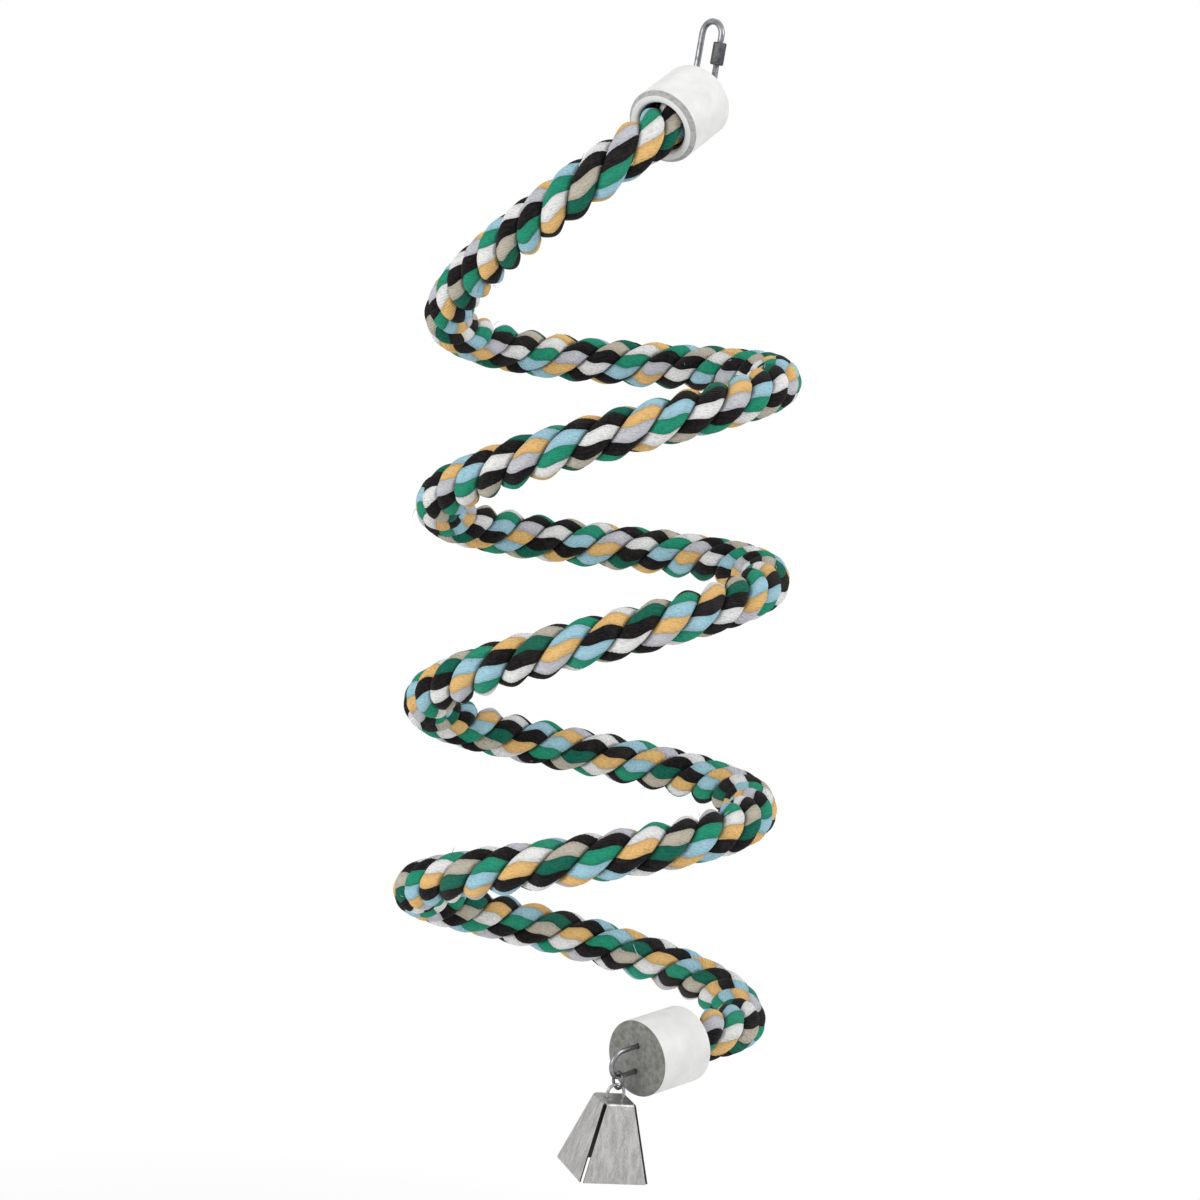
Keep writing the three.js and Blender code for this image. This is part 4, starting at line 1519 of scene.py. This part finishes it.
    def yarn_counts(self, gone: np.ndarray, width: np.ndarray) -> np.ndarray:
        """Which yarn lies at each point of each strand's back, a little unevenly as real yarns lie.

        Args:
            gone: The length gone at each station.
            width: The width gone at each point of a strand's back.

        Returns:
            The yarn count by strand, station and point. A yarn's edges are where it is whole.
        """
        shift = self.diameter * math.pi / self.lay
        even = (width[None, :] - shift * gone[:, None]) / self.yarn_width
        phase = gone[:, None] / self.waver_step + width[None, :] / self.yarn_width
        counts = []
        for strand in range(self.strands):
            drift = self.drift * np.sin(gone / self.drift_step + self.drift_phase * strand)[:, None]
            counts.append(even + drift + self.waver * np.sin(phase + self.waver_phase * strand))
        return np.array(counts)

    @staticmethod
    def ring(stations: np.ndarray, sideways: np.ndarray, upright: np.ndarray, turn: np.ndarray,
             reach: np.ndarray) -> np.ndarray:
        """Points round each station.

        Args:
            stations: The line's points.
            sideways: One direction across at each.
            upright: The other direction across.
            turn: The angle of each point, a row for each station.
            reach: How far out each point is.

        Returns:
            The points, by station and then round it.
        """
        a, b = np.cos(turn) * reach, np.sin(turn) * reach
        return stations[:, None] + a[..., None] * sideways[:, None] + b[..., None] * upright[:, None]

    def closed_tube(self, name: str, places: np.ndarray, outside: int) -> bpy.types.Object:
        """A tube with a bore, closed at both ends.

        Args:
            name: The piece's name.
            places: Points by station, the outer ones first and then those of the bore.
            outside: How many points are on the outside.

        Returns:
            The new object.
        """
        rows, per_row = places.shape[0], places.shape[1]
        inside = per_row - outside
        faces: list[tuple[int, ...]] = []
        for s in range(rows - 1):
            a, b = s * per_row, (s + 1) * per_row
            for k in range(outside):
                n = (k + 1) % outside
                faces.append((a + k, a + n, b + n, b + k))
            for k in range(inside):
                n = (k + 1) % inside
                faces.append((a + outside + k, b + outside + k, b + outside + n, a + outside + n))
        per_bore = outside // inside
        for start, forward in ((0, False), ((rows - 1) * per_row, True)):
            for k in range(inside):
                inner, following = start + outside + k, start + outside + (k + 1) % inside
                rim = [start + (k * per_bore + i) % outside for i in range(per_bore + 1)]
                for i, (p, q) in enumerate(zip(rim, rim[1:])):
                    face = (inner, p, q, following) if i == per_bore - 1 else (inner, p, q)
                    faces.append(face if forward else face[::-1])
        mesh = bpy.data.meshes.new(name)
        mesh.from_pydata(places.reshape(-1, 3).tolist(), [], faces)
        mesh.update()
        return new_object(name, mesh)

    def chart(self, obj: bpy.types.Object, yarns: np.ndarray, gone: np.ndarray) -> None:
        """Maps the yarns on the rope, numbers its strands and keeps its grooves sharp.

        Args:
            obj: The rope.
            yarns: The yarn count by strand, station and point of the strand's back.
            gone: The length gone at each station.
        """
        mesh, per_ring = obj.data, self.ring_points
        per_row, rows = per_ring + self.bore_points, len(gone)
        mesh.polygons.foreach_set("use_smooth", np.ones(len(mesh.polygons), bool))
        outer = np.arange((rows - 1) * per_row).reshape(rows - 1, per_row)[:, :per_ring].ravel()
        station, point = np.divmod(outer, per_row)
        strand, step = np.divmod(point, self.strand_points)
        u = np.stack([yarns[strand, station, step], yarns[strand, station, step + 1],
                      yarns[strand, station + 1, step + 1], yarns[strand, station + 1, step]], axis=1)
        v = np.stack([gone[station], gone[station], gone[station + 1], gone[station + 1]], axis=1)
        starts = np.empty(len(mesh.polygons), np.int32)
        mesh.polygons.foreach_get("loop_start", starts)
        loops = starts[outer][:, None] + np.arange(4)
        coordinates = np.zeros((len(mesh.loops), 2), np.float32)
        coordinates[loops, 0] = u
        coordinates[loops, 1] = v / MM
        mesh.uv_layers.new(name="yarn").data.foreach_set("uv", coordinates.ravel())
        strands = np.zeros(len(mesh.polygons), np.float32)
        strands[outer] = strand
        mark_faces(obj, "strand", strands)
        # How near each point lies to a groove between strands, where the finish paints shade
        around = np.abs(np.linspace(-1, 1, self.strand_points + 1)[:-1])
        depth = np.concatenate([np.tile(around, self.strands), np.ones(self.bore_points)])
        depth = np.tile(depth, rows).astype(np.float32)
        mesh.attributes.new("groove", "FLOAT", "POINT").data.foreach_set("value", depth)
        pairs = np.empty(len(mesh.edges) * 2, np.int32)
        mesh.edges.foreach_get("vertices", pairs)
        pairs = pairs.reshape(-1, 2) % per_row
        groove = (pairs[:, 0] == pairs[:, 1]) & (pairs[:, 0] < per_ring)
        groove &= pairs[:, 0] % self.strand_points == 0
        sharp = mesh.attributes.get("sharp_edge") or mesh.attributes.new("sharp_edge", "BOOLEAN", "EDGE")
        sharp.data.foreach_set("value", groove)

    def core(self) -> bpy.types.Object:
        """The wire core, from sleeve to sleeve."""
        stations = self.smoothed(self.route(self.core_past), self.core_station_gap)
        gone, sideways, upright = self.frames(stations)
        sides = self.core_sides
        turn = np.tile(np.arange(sides) * 2 * math.pi / sides, (len(stations), 1))
        places = self.ring(stations, sideways, upright, turn, np.full_like(turn, self.core_diameter / 2))
        faces = [(s * sides + k, s * sides + (k + 1) % sides, (s + 1) * sides + (k + 1) % sides,
                  (s + 1) * sides + k) for s in range(len(stations) - 1) for k in range(sides)]
        last = (len(stations) - 1) * sides
        faces += [tuple(range(sides))[::-1], tuple(range(last, last + sides))]
        mesh = bpy.data.meshes.new("rope_core")
        mesh.from_pydata(places.reshape(-1, 3).tolist(), [], faces)
        mesh.polygons.foreach_set("use_smooth", np.ones(len(mesh.polygons), bool))
        layer = mesh.uv_layers.new(name="lay").data
        for polygon in mesh.polygons[:-2]:
            s, k = divmod(polygon.index, sides)
            corners = ((s, k), (s, k + 1), (s + 1, k + 1), (s + 1, k))
            for loop, (row, column) in zip(polygon.loop_indices, corners):
                layer[loop].uv = (column, gone[row] / MM)
        return new_object("rope_core", mesh)

    def strays(self) -> bpy.types.Object:
        """A few stray fibres that have worked loose from the yarns."""
        shape, random = self.stray, np.random.default_rng(self.stray.seed)
        stations = self.smoothed(self.route(), shape.station_gap)
        _, sideways, upright = self.frames(stations)
        root = self.diameter / 2 * self.swell - shape.root
        data = round_curve("stray_fibres", shape.diameter, 0)
        dyes = (COAL, TEAL, SKY, STONE, TAN, CHALK, COAL)
        tints = []
        for number in range(shape.count):
            at = int(random.integers(shape.end_stations, len(stations) - shape.end_stations))
            a = random.uniform(0, 2 * math.pi)
            normal = sideways[at] * math.cos(a) + upright[at] * math.sin(a)
            along = stations[at + 1] - stations[at]
            along /= np.linalg.norm(along)
            side = np.cross(along, normal)
            long = number % shape.one_long_in == 0
            length = random.uniform(shape.shortest, shape.longest) * (shape.long_stretch if long else 1.0)
            lean = random.uniform(-shape.lean, shape.lean, 2)
            curl = random.uniform(-shape.curl, shape.curl, 2)
            spline = data.splines.new("POLY")
            spline.points.add(shape.steps)
            for i, point in enumerate(spline.points):
                t = i / shape.steps
                bow = lean * t + curl * t * t
                place = stations[at] + normal * (root + length * t * (1 - shape.droop * t))
                place = place + along * length * bow[0] + side * length * bow[1]
                point.co = (*place, 1.0)
                point.radius = (shape.long_thickness if long else 1.0) * (1 - shape.taper * t)
            tints.append(dyes[int(random.integers(0, len(dyes)))])
        mesh = meshed(data)
        obj = new_object("stray_fibres", mesh)
        tint = mesh.attributes.new("tint", "FLOAT_COLOR", "POINT")
        share = len(mesh.vertices) // len(tints)
        colours = np.repeat(np.array(tints, np.float32), share, axis=0)
        tint.data.foreach_set("color", colours.ravel())
        return obj

    def build(self) -> None:
        """Builds and dresses the rope between its two caps, with its core and stray fibres."""
        start = self.upper_mouth - UP * self.blend_margin
        end = Vector((start.x, start.y, (self.lower_mouth + UP * self.blend_margin).z))
        pieces = ((self.rope(), YARN, ("rope_coil",)), (self.core(), CORE, ("core_wire",)),
                  (self.strays(), FIBRE, ()))
        for obj, finish, nodes in pieces:
            dress(obj, finish)
            if nodes:
                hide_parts(*nodes)
            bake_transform(obj)
            LOG.info("%s: %d faces", obj.name, len(obj.data.polygons))
        path = self.smoothed(self.route(), self.station_gap)


@dataclass
class BellRing:
    """The ring between the lower eye and the bell: a wire bent round, its ends a little apart."""

    centre: Vector
    wire_diameter: float = 1.6 * MM
    diameter: float = 10.2 * MM
    turn: float = 33.0
    split: float = 8.0
    split_at: float = 150.0

    @property
    def radius(self) -> float:
        """The radius of the wire's middle line."""
        return (self.diameter - self.wire_diameter) / 2

    def build(self) -> None:
        """Builds, dresses and places the ring."""
        start = self.split_at + self.split / 2
        end = start + 360 - self.split
        points = arc(Vector(), Vector((0, 1, 0)), UP, self.radius, start, end, step=5)
        obj = wire("split_ring", points, self.wire_diameter, sides=16)
        hand_over(obj, turned_to(self.centre, self.turn), DULL_WIRE, Body.RING, "bell_ring")


@dataclass
class Bell:
    """A cross of sheet folded into four sides, with the bail that holds it and the clapper."""

    origin: Vector
    turn: float = 22.0
    top: float = 17.9 * MM
    base: float = 38 * MM
    height: float = 39.5 * MM
    sheet: float = 0.8 * MM
    fold_radius: float = 1.8 * MM
    slit: float = 1.6 * MM
    edge_ease: float = 0.14 * MM
    fold_steps: int = 8
    side_steps: int = 5
    bail_wire: float = 1.6 * MM
    bail_span: float = 9 * MM
    bail_height: float = 7.4 * MM
    bail_bend: float = 1.6 * MM
    bail_gap: float = 0.6 * MM
    stem_wire: float = 1.2 * MM
    stem_eye: float = 5.2 * MM
    stem_wrap: float = 230.0
    stem_length: float = 26.5 * MM
    ball_diameter: float = 9 * MM
    bead_diameter: float = 3 * MM

    @property
    def cross_bar(self) -> float:
        """The height of the bail's cross bar, under the crown."""
        return -(self.sheet + FIT + self.stem_wire + FIT + self.bail_wire / 2)

    def side_profile(self) -> list[tuple[float, float]]:
        """How far out and how high the sheet's outer face is, from the crown's edge to the rim."""
        slope = math.atan2((self.base - self.top) / 2, self.height)
        fold = self.top / 2 - self.fold_radius * math.tan((math.pi / 2 - slope) / 2)
        points = [(fold, 0.0)]
        for i in range(1, self.fold_steps + 1):
            a = math.pi / 2 + (slope - math.pi / 2) * i / self.fold_steps
            points.append((fold + self.fold_radius * math.cos(a), self.fold_radius * (math.sin(a) - 1)))
        x, z = points[-1]
        rows = self.side_steps
        for i in range(1, rows + 1):
            points.append((x + (self.base / 2 - x) * i / rows, z + (-self.height - z) * i / rows))
        return points

    def shell(self) -> bpy.types.Object:
        """The folded sheet: a square crown whose four edges are drawn out, folded and widened."""
        spread = (self.base - self.top) / 2 / self.height
        half = self.top / 2 - self.slit
        bm = bmesh.new()
        bmesh.ops.create_grid(bm, x_segments=2, y_segments=2, size=half)
        bmesh.ops.remove_doubles(bm, verts=bm.verts[:], dist=MERGE)
        for sign, axis in ((1, 0), (-1, 0), (1, 1), (-1, 1)):
            edges = [e for e in bm.edges if all(abs(v.co[axis] - sign * half) < WELD for v in e.verts)]
            for out, height in self.side_profile():
                made = bmesh.ops.extrude_edge_only(bm, edges=edges)["geom"]
                edges = [g for g in made if isinstance(g, bmesh.types.BMEdge)]
                verts = {v for e in edges for v in e.verts}
                widest = max(abs(v.co[1 - axis]) for v in verts)
                for v in verts:
                    v.co[1 - axis] *= (half - height * spread) / widest
                    v.co[axis], v.co.z = sign * out, height
        shell = finish_mesh(bm, "bell_sheet", crease=60)
        face_up(shell)
        wall = shell.modifiers.new("wall", "SOLIDIFY")
        wall.thickness, wall.offset, wall.use_even_offset = self.sheet, -1.0, True
        settle(shell)
        bore_pair(shell, self.bail_wire, Vector((self.bail_span / 2, 0, 0)), self.sheet, 24)
        ease_edges(shell, self.edge_ease, angle=45)
        # Marks the faces inside and at the cut edges for painted shade
        mark_faces(shell, "inner_shade", [float(self.in_painted_shade(face)) for face in shell.data.polygons])
        return shell

    def in_painted_shade(self, face: bpy.types.MeshPolygon) -> bool:
        """Whether a face of the sheet is inside the bell or at a cut edge, where shade is painted.

        Args:
            face: A face of the sheet in the bell's own frame.

        Returns:
            True where shade is painted.
        """
        if abs(face.normal.z) > 0.8:
            return face.normal.z < 0
        axis = 0 if abs(face.normal.x) > abs(face.normal.y) else 1
        reach, beside = face.center[axis], face.center[1 - axis]
        return reach * face.normal[axis] < 0 or abs(reach) < abs(beside) - self.slit / 2

    def bail(self) -> bpy.types.Object:
        """The bail: an arch of wire whose ends are bent in under the crown."""
        across = Vector((1, 0, 0))
        bend_x = self.bail_span / 2 - self.bail_bend
        bend_z = self.cross_bar + self.bail_bend
        arch = Vector((0, 0, self.bail_height - self.bail_span / 2))
        points = [Vector((bend_x - self.bail_gap / 2, 0, self.cross_bar))]
        points += arc(Vector((bend_x, 0, bend_z)), across, UP, self.bail_bend, -90, 0, step=9)
        points += arc(arch, across, UP, self.bail_span / 2, 0, 180)
        points += arc(Vector((-bend_x, 0, bend_z)), across, UP, self.bail_bend, 180, 270, step=9)
        points += [Vector((bend_x - 2 * self.bail_gap, 0, self.cross_bar))]
        return wire("bell_bail_wire", points, self.bail_wire, sides=16)

    def stem(self) -> bpy.types.Object:
        """The clapper's stem: an eye round the cross bar, a swan neck and a bead at the foot."""
        across, down = Vector((0, 1, 0)), Vector((0, 0, -1))
        radius = (self.stem_eye - self.stem_wire) / 2
        centre = Vector((0, 0, self.cross_bar + self.bail_wire / 2 + FIT + self.stem_wire / 2 - radius))
        turn = math.radians(self.stem_wrap)
        leaving = Vector((0, -math.sin(turn), math.cos(turn)))
        loop = arc(centre, across, UP, radius, 180 - self.stem_wrap, self.stem_wrap, step=8)
        neck = bend(loop[-1], leaving, centre + down * (2 * radius), down, radius / 2)
        foot = Vector((0, 0, self.ball_height - self.ball_diameter / 2 - FIT))
        stem = wire("stem", loop + neck[1:] + [foot], self.stem_wire, sides=14)
        bm = bmesh.new()
        bmesh.ops.create_uvsphere(bm, u_segments=20, v_segments=12, radius=self.bead_diameter / 2)
        bead = finish_mesh(bm, "bead")
        bead.data.transform(Matrix.Translation(foot + down * (self.bead_diameter / 2 - FIT)))
        return joined("clapper_wire", [stem, bead])

    @property
    def ball_height(self) -> float:
        """The height of the ball's middle."""
        return self.cross_bar - self.stem_length

    def ball(self) -> bpy.types.Object:
        """The ball, bored for its stem."""
        radius, bore = self.ball_diameter / 2, self.stem_wire / 2 + FIT
        edge = math.asin(bore / radius)
        steps = 24
        angles = [edge + (math.pi - 2 * edge) * i / steps for i in range(steps + 1)]
        profile = [(radius * math.sin(a), radius * math.cos(a)) for a in angles]
        ball = turned("ball_of_clapper", profile + [profile[0]], steps=40, crease=50)
        ball.data.transform(Matrix.Translation((0, 0, self.ball_height)))
        return ball

    def build(self) -> None:
        """Builds, dresses and places the bell and its clapper."""
        place = turned_to(self.origin, self.turn)
        hand_over(self.shell(), place, SHEET, Body.BELL, "bell_shell")
        hand_over(self.bail(), place, WIRE, Body.BELL, "bell_bail")
        hand_over(self.stem(), place, WIRE, Body.CLAPPER, "clapper_stem")
        hand_over(self.ball(), place, BALL, Body.CLAPPER, "clapper_ball")


@dataclass(frozen=True)
class Lamp:
    """A soft square lamp: where it is, where it points, how wide it is and its power in watts."""

    name: str
    place: tuple[float, float, float]
    aim: tuple[float, float, float]
    size: float
    power: float


@dataclass
class Studio:
    """The camera at the photograph's angle, soft lights and a pale floor."""

    target: tuple[float, float, float] = (-7.2611 * MM, 0.0, -313.4426 * MM)
    distance: float = 1739.13 * MM
    elevation: float = 9.3782
    roll: float = 9.8307
    lens: float = 96.0
    sensor: float = 36.0
    nearest: float = 0.05
    farthest: float = 60.0
    ambient: float = 0.48
    floor_height: float = -0.86
    floor_radius: float = 14.0
    fade_start: float = 0.2
    fade_end: float = 0.6
    glow_near: float = 0.45
    glow_far: float = 1.0
    lamps: tuple[Lamp, ...] = (
        Lamp("top", (0.15, 0.35, 1.1), (0.03, 0.0, -0.3), 1.6, 5.0),
        Lamp("left", (-1.3, -1.4, 0.1), (0.0, 0.0, -0.32), 1.2, 17.5),
        Lamp("right", (1.6, -0.5, 0.8), (0.0, 0.0, -0.32), 1.2, 16.0),
    )

    def camera(self) -> None:
        """Makes the camera."""
        e, r = math.radians(self.elevation), math.radians(self.roll)
        level = Vector((1, 0, 0))
        raised = Vector((0, math.sin(e), math.cos(e)))
        right = level * math.cos(r) + raised * math.sin(r)
        upward = raised * math.cos(r) - level * math.sin(r)
        back = Vector((0, -math.cos(e), math.sin(e)))
        data = bpy.data.cameras.new("camera")
        data.lens, data.sensor_width = self.lens, self.sensor
        data.clip_start, data.clip_end = self.nearest, self.farthest
        obj = bpy.data.objects.new("camera", data)
        bpy.context.scene.collection.objects.link(obj)
        place = Matrix((right, upward, back)).transposed().to_4x4()
        obj.matrix_world = Matrix.Translation(Vector(self.target) + back * self.distance) @ place
        bpy.context.scene.camera = obj

    def lights(self) -> None:
        """Makes the soft lamps."""
        for lamp in self.lamps:
            data = bpy.data.lights.new(f"{lamp.name}_light", "AREA")
            data.shape, data.size, data.energy = "SQUARE", lamp.size, lamp.power
            obj = bpy.data.objects.new(f"{lamp.name}_light", data)
            bpy.context.scene.collection.objects.link(obj)
            obj.location = lamp.place
            towards = Vector(lamp.aim) - Vector(lamp.place)
            obj.rotation_euler = towards.to_track_quat("-Z", "Y").to_euler()

    def surroundings(self) -> None:
        """Makes the pale surroundings: white to look at, and softer as light."""
        world = bpy.data.worlds.new("surroundings")
        bpy.context.scene.world = world
        world.use_nodes = True
        nodes = Nodes(world.node_tree)
        ray = nodes.add("ShaderNodeLightPath").outputs
        mirrored = nodes.math("MAXIMUM", ray["Is Glossy Ray"], ray["Is Transmission Ray"])
        seen = nodes.math("MAXIMUM", ray["Is Camera Ray"], mirrored)
        strength = nodes.span(seen, self.ambient, 1.0)
        background = nodes.add("ShaderNodeBackground", {"Color": (1, 1, 1, 1), "Strength": strength})
        nodes.add("ShaderNodeOutputWorld", {"Surface": background.outputs[0]})

    def floor(self) -> None:
        """Makes the floor, which fades into the surroundings and keeps a soft shadow."""
        bm = bmesh.new()
        bmesh.ops.create_circle(bm, cap_ends=True, segments=96, radius=self.floor_radius)
        obj = finish_mesh(bm, "floor")
        obj.data.transform(Matrix.Translation((0, 0, self.floor_height)))
        face_up(obj)
        shader = Shader("pale_floor")
        grain = shader.noise(shader.place(), Grain(40.0, 3.0))
        shader.base(
            Base_Color=shader.mix(grain, dyed(244, 244, 243), dyed(250, 250, 249)),
            Roughness=shader.span(grain, 0.85, 0.95),
        )
        shader.base(Specular_IOR_Level=0.1)
        glow = shader.add("ShaderNodeEmission", {"Color": (1, 1, 1, 1), "Strength": 1.0})
        ray = shader.add("ShaderNodeLightPath").outputs
        seen = shader.math("MAXIMUM", ray["Is Camera Ray"], ray["Is Glossy Ray"])
        level = shader.place((1, 1, 0))
        away = shader.add("ShaderNodeVectorMath", {0: level}, operation="LENGTH").outputs["Value"]
        fade = shader.span(away, self.glow_near, self.glow_far, self.fade_start, self.fade_end)
        mixer = shader.add("ShaderNodeMixShader", {
            0: shader.math("MULTIPLY", seen, fade),
            1: shader.surface.outputs[0],
            2: glow.outputs[0],
        })
        shader.feed(shader.output.inputs["Surface"], mixer.outputs[0])
        obj.data.materials.append(shader.material)

    def build(self) -> None:
        """Sets up the whole studio."""
        self.camera()
        self.lights()
        self.surroundings()
        self.floor()
        bpy.context.scene.view_settings.view_transform = "Standard"


# The whole


# Where each cap's end faces, and how far its eye's straight legs stand out of it
UPPER_OUT = heading(60.9, 27.4)
LOWER_OUT = heading(227.8, -7.3)
UPPER_EYE_REACH = 5 * MM
LOWER_EYE_REACH = 11.5 * MM


def main() -> None:
    """Builds the studio and every sub-assembly in order, and reports each piece."""
    logging.basicConfig(level=logging.INFO, format="%(name)s %(message)s")
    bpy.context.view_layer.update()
    Studio().build()
    link = QuickLink()
    eye = EndFitting.eye_spacing / 2
    eye_top = Vector((0, 0, link.seat + FIT + EndFitting.eye_wire / 2))
    upper_face = eye_top - UP * eye - UPPER_OUT * UPPER_EYE_REACH
    upper = EndFitting(Side.UPPER, upper_face, UPPER_OUT, UPPER_EYE_REACH, Body.UPPER)
    rope = WoundRope(upper_face - UPPER_OUT * upper.cap_length, UPPER_OUT, LOWER_OUT)
    lower_face = rope.lower_mouth + LOWER_OUT * upper.cap_length
    lower = EndFitting(Side.LOWER, lower_face, LOWER_OUT, LOWER_EYE_REACH, Body.LOWER)
    eye_lowest = lower_face + LOWER_OUT * LOWER_EYE_REACH - UP * eye
    ring = BellRing(Vector())
    ring_height = eye_lowest.z + lower.eye_wire / 2 + FIT + ring.wire_diameter / 2 - ring.radius
    ring.centre = Vector((eye_lowest.x, eye_lowest.y, ring_height))
    bell = Bell(Vector())
    bail_top = ring.centre + UP * (-ring.radius + (ring.wire_diameter + bell.bail_wire) / 2 + FIT)
    bell.origin = bail_top - UP * bell.bail_height
    for part in (rope, link, upper, lower, ring, bell):
        part.build()
        LOG.info("built %s", type(part).__name__)


if __name__ == "__main__":
    main()
